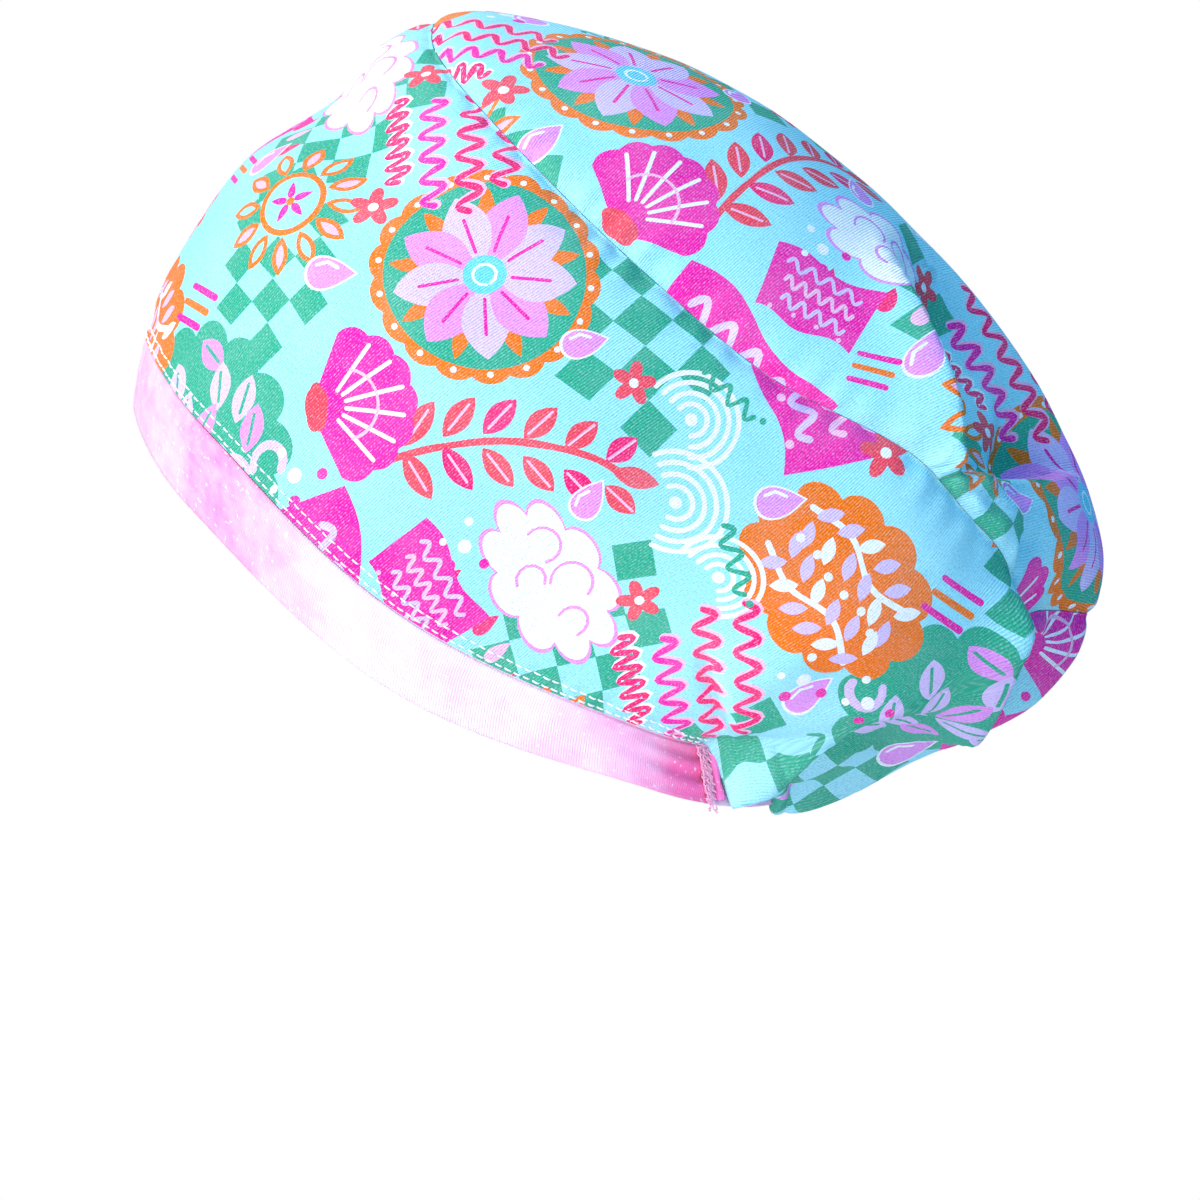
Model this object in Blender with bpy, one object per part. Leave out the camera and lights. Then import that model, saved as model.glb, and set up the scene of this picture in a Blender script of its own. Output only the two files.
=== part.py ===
"""Scrub cap as worn on a head: crown panel, side panel, front band, gathered back casing and two serged tacks.

World frame: origin at the centre of the head opening, +Z up, the front of the cap toward -X, the wearer's left toward -Y.
Every cloth piece is a closed wall of even thickness, laid out as rings round the head.
"""
import math

import bpy
import numpy as np

# Overall sizes, in metres
CAP_LENGTH = 0.280
CAP_HEIGHT = 0.228
CAP_BREADTH = 0.192

# Cloth walls and the gap kept between neighbouring pieces
PRINT_WALL = 0.0013
BAND_WALL = 0.0018
TACK_WALL = 0.0022
GAP = 0.0003
HEM_GAP = 0.0005

# Front band, back casing and tacks
BAND_WIDTH = 0.0200
TACK_WIDTH = 0.0040
TACK_ANGLE = 147.0
CASING_RIBS = 15
CASING_RIB_HEIGHT = 0.0009

# Crown panel
CROWN_RISE = 0.0487
SEAM_DIP = 0.0015
SEAM_DIP_REACH = 0.0060

# Folds of the printed cloth; they fade out toward the middle of the back, over this share of CAP_BREADTH
FOLD_FADE = 0.26
FOLD_SAMPLES = 41
FOLD_CLEAR = 0.0180
PANEL_RIB_HEIGHT = 0.0022
PANEL_RIBS = 11
PANEL_RIB_START = 0.12
PANEL_RIB_REACH = 0.34
PUFF_HEIGHT = 0.0035
PUFF_REACH = 0.24
PUFF_LEAD = 20.0

# Mesh counts
CROWN_ROWS = 11
BAND_COLUMNS = 60
BAND_ROWS = 3
CASING_COLUMNS = 60
CASING_ROWS = 3
TACK_ROWS = 4
FRONT_COLUMNS = 42
BACK_COLUMNS = 40
BACK_SPAN = 76.0

# Rings round the head: ends as shares of CAP_LENGTH (along) and CAP_HEIGHT (up), half breadth as a share of
# CAP_BREADTH, and how far the side of the ring bows down and forward from its chord, as shares of CAP_HEIGHT
RING_COLUMNS = ("front_along", "front_up", "back_along", "back_up", "half_breadth", "bow_45", "bow_90", "bow_135")
RINGS = {
    "hem": (-0.332, 0.257, 0.332, -0.253, 0.401, 0.072, 0.131, 0.063),
    "low": (-0.293, 0.425, 0.362, -0.252, 0.458, -0.004, 0.004, -0.048),
    "middle": (-0.220, 0.557, 0.497, -0.190, 0.500, 0.019, 0.032, -0.025),
    "high": (-0.121, 0.640, 0.590, -0.140, 0.474, 0.030, 0.045, 0.006),
    "brow": (-0.083, 0.702, 0.640, -0.075, 0.445, 0.043, 0.056, 0.016),
}
SEAM_ENDS = (-0.024, 0.750, 0.665, -0.016)
SEAM_HALF_BREADTH = 0.411
FULLNESS = 0.06

# How far the crown seam sags below its chord: angle from the front in degrees, share of CAP_HEIGHT
SEAM_SAG = ((0, 0.0), (20, 0.031), (45, 0.054), (75, 0.068), (95, 0.061), (118, 0.013), (132, 0.026), (147, 0.055),
            (165, 0.022), (180, 0.0))

# From the hem to the top of the band or casing: angle from the front, then shares of BAND_WIDTH
BAND_STEP_COLUMNS = ("angle", "along", "out", "up")
BAND_STEPS = ((0, 0.17, 0.10, 0.93), (45, 0.24, 0.12, 1.08), (90, 0.10, 0.14, 1.07), (135, -0.11, 0.10, 0.84),
              (180, -0.12, 0.04, 0.84))

# Where the side panel's rings sit between the top of the band (0) and the crown seam (1)
PANEL_STATIONS = (("low", 0.26), ("middle", 0.50), ("high", 0.74), ("brow", 0.88))
PANEL_ROWS = (0.0, 0.05, 0.12, 0.20, 0.28, 0.38, 0.48, 0.58, 0.67, 0.76, 0.83, 0.89, 0.95, 1.0)

# Folds: path ends and middle as shares of CAP_LENGTH and CAP_HEIGHT seen from the side, depth, reach, and the
# height of the ridge before the fold
FOLD_COLUMNS = ("start_along", "start_up", "middle_along", "middle_up", "end_along", "end_up", "depth", "reach", "ridge")
FOLDS = {
    "crown crease": (0.438, 0.466, 0.480, 0.335, 0.503, 0.165, 0.0075, 0.0160, 0.0020),
    "rear valley": (0.562, 0.076, 0.569, -0.030, 0.520, -0.172, 0.0080, 0.0110, 0.0020),
    "under roll": (0.330, -0.226, 0.412, -0.150, 0.520, -0.120, 0.0050, 0.0110, 0.0025),
}


def smooth_table(rows, angle):
    """Smooth curve through (angle, value) rows, level at both ends, for angles of either sign in degrees."""
    known = np.array([row[0] for row in rows], float)
    value = np.array([row[1] for row in rows], float)
    slope = np.gradient(value, known)
    slope[0] = 0.0
    slope[-1] = 0.0
    at = np.abs(np.asarray(angle, float))
    i = np.clip(np.searchsorted(known, at, side="right") - 1, 0, len(known) - 2)
    span = known[i + 1] - known[i]
    t = (at - known[i]) / span
    rise = (1 + 2 * t) * (1 - t) ** 2 * value[i] + t * t * (3 - 2 * t) * value[i + 1]
    return rise + span * (t * (1 - t) ** 2 * slope[i] - t * t * (1 - t) * slope[i + 1])


def across(angle, radius=1.0):
    """Sideways position round a full oval ring, 1 at its widest; the wearer's left is -Y."""
    turn = np.radians(angle)
    return -radius * (np.sin(turn) + FULLNESS * radius ** 2 * np.sin(3 * turn)) / (1 - FULLNESS)


def ring(name, angle):
    """Points of a named ring at the given angles from the front."""
    front_along, front_up, back_along, back_up, half, bow_45, bow_90, bow_135 = RINGS[name]
    front = np.array([front_along * CAP_LENGTH, front_up * CAP_HEIGHT])
    back = np.array([back_along * CAP_LENGTH, back_up * CAP_HEIGHT])
    bow = smooth_table(((0, 0.0), (45, bow_45), (90, bow_90), (135, bow_135), (180, 0.0)), angle) * CAP_HEIGHT
    return chord_points(front, back, bow, half * CAP_BREADTH * across(angle), angle)


def chord_points(front, back, bow, sideways, angle):
    """Points on an oval whose long axis runs from front to back in the X and Z plane, dropped by bow."""
    chord = back - front
    down = np.array([chord[1], -chord[0]]) / np.hypot(*chord)
    share = ((1 - np.cos(np.radians(angle))) / 2)[:, None]
    flat = front + share * chord + bow[:, None] * down
    return np.column_stack([flat[:, 0], sideways, flat[:, 1]])


def seam(angle):
    """Points of the crown seam."""
    front = np.array([SEAM_ENDS[0] * CAP_LENGTH, SEAM_ENDS[1] * CAP_HEIGHT])
    back = np.array([SEAM_ENDS[2] * CAP_LENGTH, SEAM_ENDS[3] * CAP_HEIGHT])
    sag = smooth_table(SEAM_SAG, angle) * CAP_HEIGHT
    return chord_points(front, back, sag, SEAM_HALF_BREADTH * CAP_BREADTH * across(angle), angle)


def band_top(angle):
    """Points at the top of the band and of the casing."""
    step = [smooth_table([(row[0], row[k]) for row in BAND_STEPS], angle) * BAND_WIDTH for k in (1, 2, 3)]
    outward = np.sign(across(angle)) * step[1]
    return ring("hem", angle) + np.column_stack([step[0], outward, step[2]])


def panel(angle, height):
    """Side panel's outer face before its folds: height runs from 0 at the band to 1 at the crown seam."""
    rings = [band_top(angle)] + [ring(name, angle) for name, _ in PANEL_STATIONS] + [seam(angle)]
    known = np.array([0.0] + [place for _, place in PANEL_STATIONS] + [1.0])
    i = int(np.clip(np.searchsorted(known, height, side="right") - 1, 0, len(known) - 2))
    slopes = [ring_slope(rings, known, k) for k in (i, i + 1)]
    span = known[i + 1] - known[i]
    t = (height - known[i]) / span
    base = (1 + 2 * t) * (1 - t) ** 2 * rings[i] + t * t * (3 - 2 * t) * rings[i + 1]
    return base + span * (t * (1 - t) ** 2 * slopes[0] - t * t * (1 - t) * slopes[1])


def ring_slope(rings, known, k):
    """Change of position with height at ring k."""
    before = max(k - 1, 0)
    after = min(k + 1, len(rings) - 1)
    return (rings[after] - rings[before]) / (known[after] - known[before])


def crown_point(angle, radius):
    """Crown's outer face before its folds: radius runs from 1 at the seam to 0 at the middle."""
    front = np.array([SEAM_ENDS[0] * CAP_LENGTH, SEAM_ENDS[1] * CAP_HEIGHT])
    back = np.array([SEAM_ENDS[2] * CAP_LENGTH, SEAM_ENDS[3] * CAP_HEIGHT])
    chord = back - front
    up = np.array([-chord[1], chord[0]]) / np.hypot(*chord)
    sideness = np.sin(np.radians(angle)) ** 2
    behind = np.clip(-np.cos(np.radians(angle)), 0.0, 1.0) ** 2
    rise = CROWN_RISE * (1 - radius ** 2) ** (0.85 - 0.20 * sideness - 0.13 * behind)
    sag = smooth_table(SEAM_SAG, angle) * CAP_HEIGHT * radius ** 3
    share = ((1 - radius * np.cos(np.radians(angle))) / 2)[:, None]
    flat = front + share * chord + (rise - sag)[:, None] * up
    sideways = SEAM_HALF_BREADTH * CAP_BREADTH * across(angle, radius)
    return np.column_stack([flat[:, 0], sideways, flat[:, 1]])


def normals(grid, closed):
    """Unit normals of a grid of points (rows by columns), pointing out of the cap."""
    if closed:
        along = np.roll(grid, -1, axis=1) - np.roll(grid, 1, axis=1)
    else:
        along = np.gradient(grid, axis=1)
    rise = np.gradient(grid, axis=0)
    cross = np.cross(along, rise)
    return cross / np.linalg.norm(cross, axis=2)[:, :, None]


def fold_push(points, fold):
    """How far each point moves inward for one fold, from its place in the side view."""
    values = dict(zip(FOLD_COLUMNS, FOLDS[fold]))
    place = np.stack([points[..., 0], points[..., 2]], axis=-1)
    start, middle, end = [np.array([values[part + "_along"] * CAP_LENGTH, values[part + "_up"] * CAP_HEIGHT])
                          for part in ("start", "middle", "end")]
    t = np.linspace(0.0, 1.0, FOLD_SAMPLES)[:, None]
    samples = (1 - t) * (1 - 2 * t) * start + 4 * t * (1 - t) * middle + t * (2 * t - 1) * end
    tangent = np.gradient(samples, axis=0)
    tangent /= np.linalg.norm(tangent, axis=1)[:, None]
    offset = place[..., None, :] - samples
    nearest = np.argmin((offset ** 2).sum(-1), axis=-1)
    away = np.take_along_axis(offset, nearest[..., None, None], axis=-2)[..., 0, :]
    line = tangent[nearest]
    beside = line[..., 0] * away[..., 1] - line[..., 1] * away[..., 0]
    beyond = np.abs((line * away).sum(-1))
    share = nearest / (FOLD_SAMPLES - 1)
    taper = np.sin(math.pi * (0.10 + 0.80 * share)) * np.exp(-(beyond / values["reach"]) ** 2)
    inside = np.clip(beside / values["reach"] + 0.3, 0.0, 1.0)
    valley = values["depth"] * inside ** 2 * (3 - 2 * inside) * np.exp(-(beside / (2.4 * values["reach"])) ** 2)
    crest = values["ridge"] * np.exp(-(beside / (0.8 * values["reach"])) ** 2)
    side = np.clip(np.abs(points[..., 1]) / (FOLD_FADE * CAP_BREADTH), 0.0, 1.0)
    return (valley - crest) * taper * side ** 2 * (3 - 2 * side)


def folded(grid, folds, seam_row, angle):
    """Grid with its folds pressed in along the normals, and a shallow dip along the seam row."""
    facing = normals(grid, True)
    push = sum(fold_push(grid, fold) for fold in folds)
    to_seam = np.linalg.norm(grid - grid[seam_row], axis=2)
    push = push * np.clip(to_seam / FOLD_CLEAR, 0.0, 1.0) + SEAM_DIP * np.exp(-(to_seam / SEAM_DIP_REACH) ** 2)
    grid = grid - facing * push[:, :, None]
    grid[seam_row] = seam(angle) + SEAM_DIP * shared_inward(angle)
    return grid


def wall(name, grid, inward, thickness, closed, colour, capped=False):
    """Closed cloth wall from its outer grid, its inward directions and its thickness."""
    rows, columns = grid.shape[:2]
    inner = grid + inward * thickness
    points = np.concatenate([grid.reshape(-1, 3), inner.reshape(-1, 3)])
    layer = rows * columns
    faces = []
    spans = columns if closed else columns - 1
    for r in range(rows - 1):
        for c in range(spans):
            a = r * columns + c
            b = r * columns + (c + 1) % columns
            faces.append((a, b, b + columns, a + columns))
            faces.append((layer + a, layer + a + columns, layer + b + columns, layer + b))
    for c in range(spans):
        a = c
        b = (c + 1) % columns
        faces.append((a, layer + a, layer + b, b))
        if not capped:
            top = (rows - 1) * columns
            faces.append((top + a, top + b, layer + top + b, layer + top + a))
    if not closed:
        for r in range(rows - 1):
            a = r * columns
            b = a + columns
            faces.append((a, b, layer + b, layer + a))
            a += columns - 1
            b += columns - 1
            faces.append((a, layer + a, layer + b, b))
    if capped:
        last = (rows - 1) * columns
        middle = grid[-1].mean(axis=0)
        facing = inward[-1].mean(axis=0)
        points = np.concatenate([points, [middle, middle + facing / np.linalg.norm(facing) * thickness]])
        for c in range(columns):
            a = last + c
            b = last + (c + 1) % columns
            faces.append((a, b, 2 * layer))
            faces.append((layer + a, 2 * layer + 1, layer + b))
    mesh = bpy.data.meshes.new(name)
    mesh.from_pydata([tuple(float(x) for x in p) for p in points], [], faces)
    mesh.validate()
    thing = bpy.data.objects.new(name, mesh)
    bpy.context.scene.collection.objects.link(thing)
    material = bpy.data.materials.new(name + "_cloth")
    material.use_nodes = True
    shader = material.node_tree.nodes["Principled BSDF"]
    shader.inputs["Base Color"].default_value = (*colour, 1.0)
    shader.inputs["Roughness"].default_value = 0.85
    shader.inputs["Metallic"].default_value = 0.0
    mesh.materials.append(material)
    return thing


def back_ribs(angle, height):
    """Gathers of the side panel over the casing, fading up the panel."""
    fade = np.clip((np.abs(angle) - TACK_ANGLE + 12.0) / 24.0, 0.0, 1.0)
    rise = math.sin(math.pi * min(max(height - PANEL_RIB_START, 0.0) / PANEL_RIB_REACH, 1.0))
    return PANEL_RIB_HEIGHT * fade * rise * np.cos(math.pi * PANEL_RIBS * (180.0 - angle) / (180.0 - TACK_ANGLE) / 2)


def puff(angle, height):
    """How much the cloth puffs up over the casing before it drapes down, as a share of PUFF_HEIGHT."""
    fade = np.clip((np.abs(angle) - TACK_ANGLE + PUFF_LEAD) / PUFF_LEAD, 0.0, 1.0)
    return fade * fade * (3 - 2 * fade) * math.sin(math.pi * min(height / PUFF_REACH, 1.0))


def column_angles():
    """Angles of the columns of the crown and the side panel, closer together over the back."""
    back = np.linspace(180.0 - BACK_SPAN, 180.0 + BACK_SPAN, BACK_COLUMNS + 1)[:-1]
    front = np.linspace(180.0 + BACK_SPAN, 540.0 - BACK_SPAN, FRONT_COLUMNS + 1)[:-1]
    both = np.concatenate([back, front])
    return np.where(both > 180.0, both - 360.0, both)


def shared_inward(angle):
    """Directions into the cap at the crown seam, shared by the crown and the side panel so that their edges match."""
    below = panel(angle, 0.97)
    above = crown_point(angle, 0.985)
    here = seam(angle)
    before = seam(angle - 1.0)
    after = seam(angle + 1.0)
    up = ((above - here) / np.linalg.norm(above - here, axis=1)[:, None]
          + (here - below) / np.linalg.norm(here - below, axis=1)[:, None])
    facing = np.cross(after - before, up)
    return -facing / np.linalg.norm(facing, axis=1)[:, None]


def band_inward(angle):
    """Directions into the cap at the band and casing, shared with the panel's lower edge."""
    facing = np.cross(band_top(angle + 1.0) - band_top(angle - 1.0), band_top(angle) - ring("hem", angle))
    return -facing / np.linalg.norm(facing, axis=1)[:, None]


def build_crown():
    angle = column_angles()
    spread = np.linspace(0.0, 1.0, CROWN_ROWS + 1)[:-1]
    radii = 1.0 - spread ** 1.25
    grid = np.array([crown_point(angle, radius) for radius in radii])
    grid = folded(grid, ("crown crease",), 0, angle)
    inward = -normals(grid, True)
    inward[0] = shared_inward(angle)
    return wall("crown", grid, inward, PRINT_WALL, True, (0.32, 0.78, 0.80), capped=True)


def build_side_panel():
    angle = column_angles()
    grid = np.array([panel(angle, height) for height in PANEL_ROWS])
    facing = normals(grid, True)
    for r, height in enumerate(PANEL_ROWS):
        grid[r] += facing[r] * back_ribs(angle, height)[:, None]
    first = grid[0].copy()
    grid = folded(grid, ("rear valley", "under roll"), -1, angle)
    grid[0] = first
    down = (grid[-2] - grid[-1]) / np.linalg.norm(grid[-2] - grid[-1], axis=1)[:, None]
    grid[-1] += GAP * down
    rise = band_top(angle) - ring("hem", angle)
    rise /= np.linalg.norm(rise, axis=1)[:, None]
    for r, height in enumerate(PANEL_ROWS):
        grid[r] += (HEM_GAP * (1 - height) + PUFF_HEIGHT * puff(angle, height))[:, None] * rise
    inward = -normals(grid, True)
    inward[-1] = shared_inward(angle)
    inward[0] = band_inward(angle)
    return wall("side_panel", grid, inward, PRINT_WALL, True, (0.86, 0.34, 0.60))


def strip_grid(angle, rows, proud):
    """Grid from the hem to the top of the band, standing proud by the given amount for each column."""
    low = ring("hem", angle)
    high = band_top(angle)
    out = -band_inward(angle) * proud[:, None]
    return np.array([low + (high - low) * share + out * math.sin(math.pi * share) for share in np.linspace(0.0, 1.0, rows + 1)])


def arc_angle(length):
    """Angle that spans a length along the hem near the tacks, in degrees."""
    near = ring("hem", np.array([TACK_ANGLE - 1.0, TACK_ANGLE + 1.0]))
    return 2.0 * length / np.linalg.norm(near[1] - near[0])


def build_front_band():
    half = TACK_ANGLE - arc_angle(TACK_WIDTH / 2 + GAP)
    angle = np.linspace(-half, half, BAND_COLUMNS + 1)
    grid = strip_grid(angle, BAND_ROWS, np.full(len(angle), 0.0010))
    inward = np.repeat(band_inward(angle)[None], BAND_ROWS + 1, axis=0)
    return wall("front_band", grid, inward, BAND_WALL, False, (0.93, 0.35, 0.62))


def build_back_casing():
    start = TACK_ANGLE + arc_angle(TACK_WIDTH / 2 + GAP)
    angle = np.linspace(start, 360.0 - start, CASING_COLUMNS + 1)
    turned = np.where(angle > 180.0, angle - 360.0, angle)
    share = (angle - start) / (360.0 - 2 * start)
    proud = CASING_RIB_HEIGHT * np.sin(math.pi * CASING_RIBS * share) ** 2
    grid = strip_grid(turned, CASING_ROWS, proud)
    inward = np.repeat(band_inward(turned)[None], CASING_ROWS + 1, axis=0)
    return wall("back_casing", grid, inward, BAND_WALL, False, (0.95, 0.62, 0.80))


def build_tack(name, side):
    half = arc_angle(TACK_WIDTH / 2)
    angle = np.linspace(TACK_ANGLE - half, TACK_ANGLE + half, 3)
    if side > 0:
        angle = -angle[::-1]
    grid = strip_grid(angle, TACK_ROWS, np.array([0.0008, 0.0012, 0.0008]))
    inward = np.repeat(band_inward(angle)[None], TACK_ROWS + 1, axis=0)
    return wall(name, grid, inward, TACK_WALL, False, (0.85, 0.20, 0.50))


for old in list(bpy.data.objects):
    bpy.data.objects.remove(old)

build_crown()
build_side_panel()
build_front_band()
build_back_casing()
build_tack("tack_left", -1)
build_tack("tack_right", 1)
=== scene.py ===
"""Scrub cap, dressed: printed crown and side panel, pink band, gathered casing, serged tacks, topstitching.

Row frame: +Z up, the front of the cap toward -X, the wearer's left toward -Y. Angles round the cap are in
degrees, with 0 at the front. Side-view places are written in picture units (px, py) and turned into metres
by spot(). All colours are linear.
"""
import math

import bpy
import numpy as np
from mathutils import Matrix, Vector, kdtree, noise
from mathutils.geometry import delaunay_2d_cdt


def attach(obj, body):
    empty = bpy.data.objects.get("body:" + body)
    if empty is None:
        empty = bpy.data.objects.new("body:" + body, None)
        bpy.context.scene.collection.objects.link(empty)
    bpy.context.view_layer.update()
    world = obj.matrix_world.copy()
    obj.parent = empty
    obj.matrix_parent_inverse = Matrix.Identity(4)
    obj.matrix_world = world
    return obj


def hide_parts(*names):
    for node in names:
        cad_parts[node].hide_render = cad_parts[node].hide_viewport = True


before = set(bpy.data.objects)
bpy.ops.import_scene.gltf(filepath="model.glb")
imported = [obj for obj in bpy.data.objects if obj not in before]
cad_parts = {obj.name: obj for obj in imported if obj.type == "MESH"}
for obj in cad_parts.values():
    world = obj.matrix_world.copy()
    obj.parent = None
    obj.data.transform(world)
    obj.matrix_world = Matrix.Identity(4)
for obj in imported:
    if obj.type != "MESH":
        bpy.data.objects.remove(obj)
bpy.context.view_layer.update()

# The cap's form, as in the part's source
LONG, TALL, BROAD = 0.280, 0.228, 0.192
BAND, RISE, FULL = 0.0200, 0.0487, 0.06
TACK = 147.0
WALL, BAND_WALL, GAP = 0.0010, 0.0016, 0.0003
RINGS = {
    "hem": (-0.332, 0.257, 0.332, -0.253, 0.401, 0.072, 0.131, 0.063),
    "low": (-0.293, 0.425, 0.362, -0.252, 0.458, -0.004, 0.004, -0.048),
    "middle": (-0.220, 0.557, 0.497, -0.190, 0.500, 0.019, 0.032, -0.025),
    "high": (-0.121, 0.640, 0.590, -0.140, 0.474, 0.030, 0.045, 0.006),
    "brow": (-0.083, 0.702, 0.640, -0.075, 0.445, 0.043, 0.056, 0.016),
}
STATIONS = ("low", 0.26), ("middle", 0.50), ("high", 0.74), ("brow", 0.88)
SEAM_ENDS, SEAM_HALF = (-0.024, 0.750, 0.665, -0.016), 0.411
SAG = ((0, 0.0), (20, 0.031), (45, 0.054), (75, 0.068), (95, 0.061),
       (118, 0.013), (132, 0.026), (147, 0.055), (165, 0.022), (180, 0.0))
BAND_STEPS = ((0, 0.17, 0.10, 0.93), (45, 0.24, 0.12, 1.08), (90, 0.10, 0.14, 1.07),
              (135, -0.11, 0.10, 0.84), (180, -0.12, 0.04, 0.84))
PICTURE_UNIT, PICTURE_CENTRE = 0.00029, (455, 604)


def spot(px, py):
    return np.array([(px - PICTURE_CENTRE[0]) * PICTURE_UNIT, (PICTURE_CENTRE[1] - py) * PICTURE_UNIT])


def hermite(t, span, start, end, slopes):
    """Cubic from start to end over a span, with a slope at each end."""
    return ((1 + 2 * t) * (1 - t) ** 2 * start + t * t * (3 - 2 * t) * end
            + span * (t * (1 - t) ** 2 * slopes[0] - t * t * (1 - t) * slopes[1]))


def table(rows, angle):
    """Smooth value at each angle, from rows of angle and value, level at both ends."""
    known, value = np.array(rows, float).T
    slope = np.gradient(value, known)
    slope[0] = slope[-1] = 0.0
    at = np.abs(np.asarray(angle, float))
    i = np.clip(np.searchsorted(known, at, side="right") - 1, 0, len(known) - 2)
    span = known[i + 1] - known[i]
    return hermite((at - known[i]) / span, span, value[i], value[i + 1], (slope[i], slope[i + 1]))


def across(angle, radius=1.0):
    turn = np.radians(angle)
    return -radius * (np.sin(turn) + FULL * radius ** 2 * np.sin(3 * turn)) / (1 - FULL)


def on_chord(front, back, bow, sideways, angle, radius=1.0, up=0.0):
    chord = back - front
    down = np.array([chord[1], -chord[0]]) / np.hypot(*chord)
    share = ((1 - radius * np.cos(np.radians(angle))) / 2)[..., None]
    flat = front + share * chord + (bow - up)[..., None] * down
    return np.stack([flat[..., 0], sideways, flat[..., 1]], axis=-1)


def ring(name, angle):
    fa, fu, ba, bu, half, b1, b2, b3 = RINGS[name]
    front, back = np.array([fa * LONG, fu * TALL]), np.array([ba * LONG, bu * TALL])
    bow = table(((0, 0), (45, b1), (90, b2), (135, b3), (180, 0)), angle) * TALL
    return on_chord(front, back, bow, half * BROAD * across(angle), angle)


CROWN_ENDS = [np.array([along * LONG, up * TALL]) for along, up in (SEAM_ENDS[:2], SEAM_ENDS[2:])]


def seam(angle):
    return on_chord(*CROWN_ENDS, table(SAG, angle) * TALL, SEAM_HALF * BROAD * across(angle), angle)


def band_top(angle):
    step = [table([(r[0], r[k]) for r in BAND_STEPS], angle) * BAND for k in (1, 2, 3)]
    return ring("hem", angle) + np.stack([step[0], np.sign(across(angle)) * step[1], step[2]], axis=-1)


def crown_form(angle, radius):
    side = np.sin(np.radians(angle)) ** 2
    behind = np.clip(-np.cos(np.radians(angle)), 0, 1) ** 2
    up = RISE * np.clip(1 - radius ** 2, 0, 1) ** (0.85 - 0.20 * side - 0.13 * behind)
    bow = table(SAG, angle) * TALL * radius ** 3
    return on_chord(*CROWN_ENDS, bow, SEAM_HALF * BROAD * across(angle, radius), angle, radius, up)


def panel_form(angle, heights):
    rings = [band_top(angle)] + [ring(n, angle) for n, _ in STATIONS] + [seam(angle)]
    known = np.array([0.0] + [p for _, p in STATIONS] + [1.0])
    sides = [(max(k - 1, 0), min(k + 1, 5)) for k in range(6)]
    slopes = [(rings[b] - rings[a]) / (known[b] - known[a]) for a, b in sides]
    out = []
    for h in heights:
        i = int(np.clip(np.searchsorted(known, h, side="right") - 1, 0, 4))
        span = known[i + 1] - known[i]
        out.append(hermite((h - known[i]) / span, span, rings[i], rings[i + 1], slopes[i:i + 2]))
    return np.array(out)


def unit(v):
    return v / np.maximum(np.linalg.norm(v, axis=-1, keepdims=True), 1e-12)


def outward(grid):
    return unit(np.cross(np.gradient(grid, axis=1), np.gradient(grid, axis=0)))


def ramp(x, low, high):
    t = np.clip((x - low) / (high - low), 0, 1)
    return t * t * (3 - 2 * t)


def apart(grid, line):
    """Distance of each place of a grid from a line's place in the same column or row."""
    return np.linalg.norm(grid - line, axis=2)


def so_far(points, axis=0):
    """Way covered from the first point on, along an axis of a line or grid."""
    steps = np.cumsum(np.linalg.norm(np.diff(points, axis=axis), axis=-1), axis=axis)
    return np.concatenate([np.zeros_like(steps.take([0], axis)), steps], axis)


def fuzz(points, scale, seed=0.0, stretch=(1, 1, 1)):
    """Smooth noise from about -1 to 1 at each point; scale is the size of its lumps in metres."""
    flat = points.reshape(-1, 3) * np.array(stretch) / scale + seed
    return np.array([noise.noise(Vector(p)) for p in flat]).reshape(points.shape[:-1]) * 1.6


def smooth(points, steps=8):
    """Smooth curve through points."""
    p = np.asarray(points, float)
    q = np.concatenate([2 * p[:1] - p[1:2], p, 2 * p[-1:] - p[-2:-1]])
    out = []
    for a, b, c, d in zip(q, q[1:], q[2:], q[3:]):
        for t in np.linspace(0, 1, steps, endpoint=False):
            square, cube = (2 * a - 5 * b + 4 * c - d) * t * t, (3 * b - a - 3 * c + d) * t ** 3
            out.append(0.5 * (2 * b + (c - a) * t + square + cube))
    out.append(q[-2])
    return np.array(out)


def press(grid, facing, path, depth, reach, ridge, lead, tail, lean=0.0, side=-1, sharp=0.8, fall=2.6):
    """Folds a grid along a path that runs down: a drop by depth to its right, a rise by ridge on it."""
    line = smooth([spot(*p) for p in path], 10)
    tangent = unit(np.gradient(line, axis=0))
    gap = grid[..., [0, 2]][..., None, :] - line
    near = np.argmin((gap ** 2).sum(-1), axis=-1)
    away = np.take_along_axis(gap, near[..., None, None], axis=-2)[..., 0, :]
    along = tangent[near]
    beside = along[..., 0] * away[..., 1] - along[..., 1] * away[..., 0]
    beyond = (along * away).sum(-1)
    share = near / (len(line) - 1)
    hold = ramp(share, 0, lead) * ((1 - ramp(share, 1 - tail, 1)) if tail else 1)
    hold = hold * np.exp(-(beyond / reach) ** 2) * ramp(side * grid[..., 1], 0.0, 0.030)
    x = beside / reach
    drop_off = depth * ramp(x, -0.25, sharp) * np.exp(-(np.maximum(x, 0) / fall) ** 2)
    push = drop_off - ridge * np.exp(-((x + 0.35) / 0.8) ** 2)
    shift = lean * np.exp(-((x + 0.2) / 0.55) ** 2) * hold
    moved = grid - facing * (push * hold)[..., None]
    moved[..., 0] += -along[..., 1] * shift
    moved[..., 2] += along[..., 0] * shift
    return moved


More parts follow.
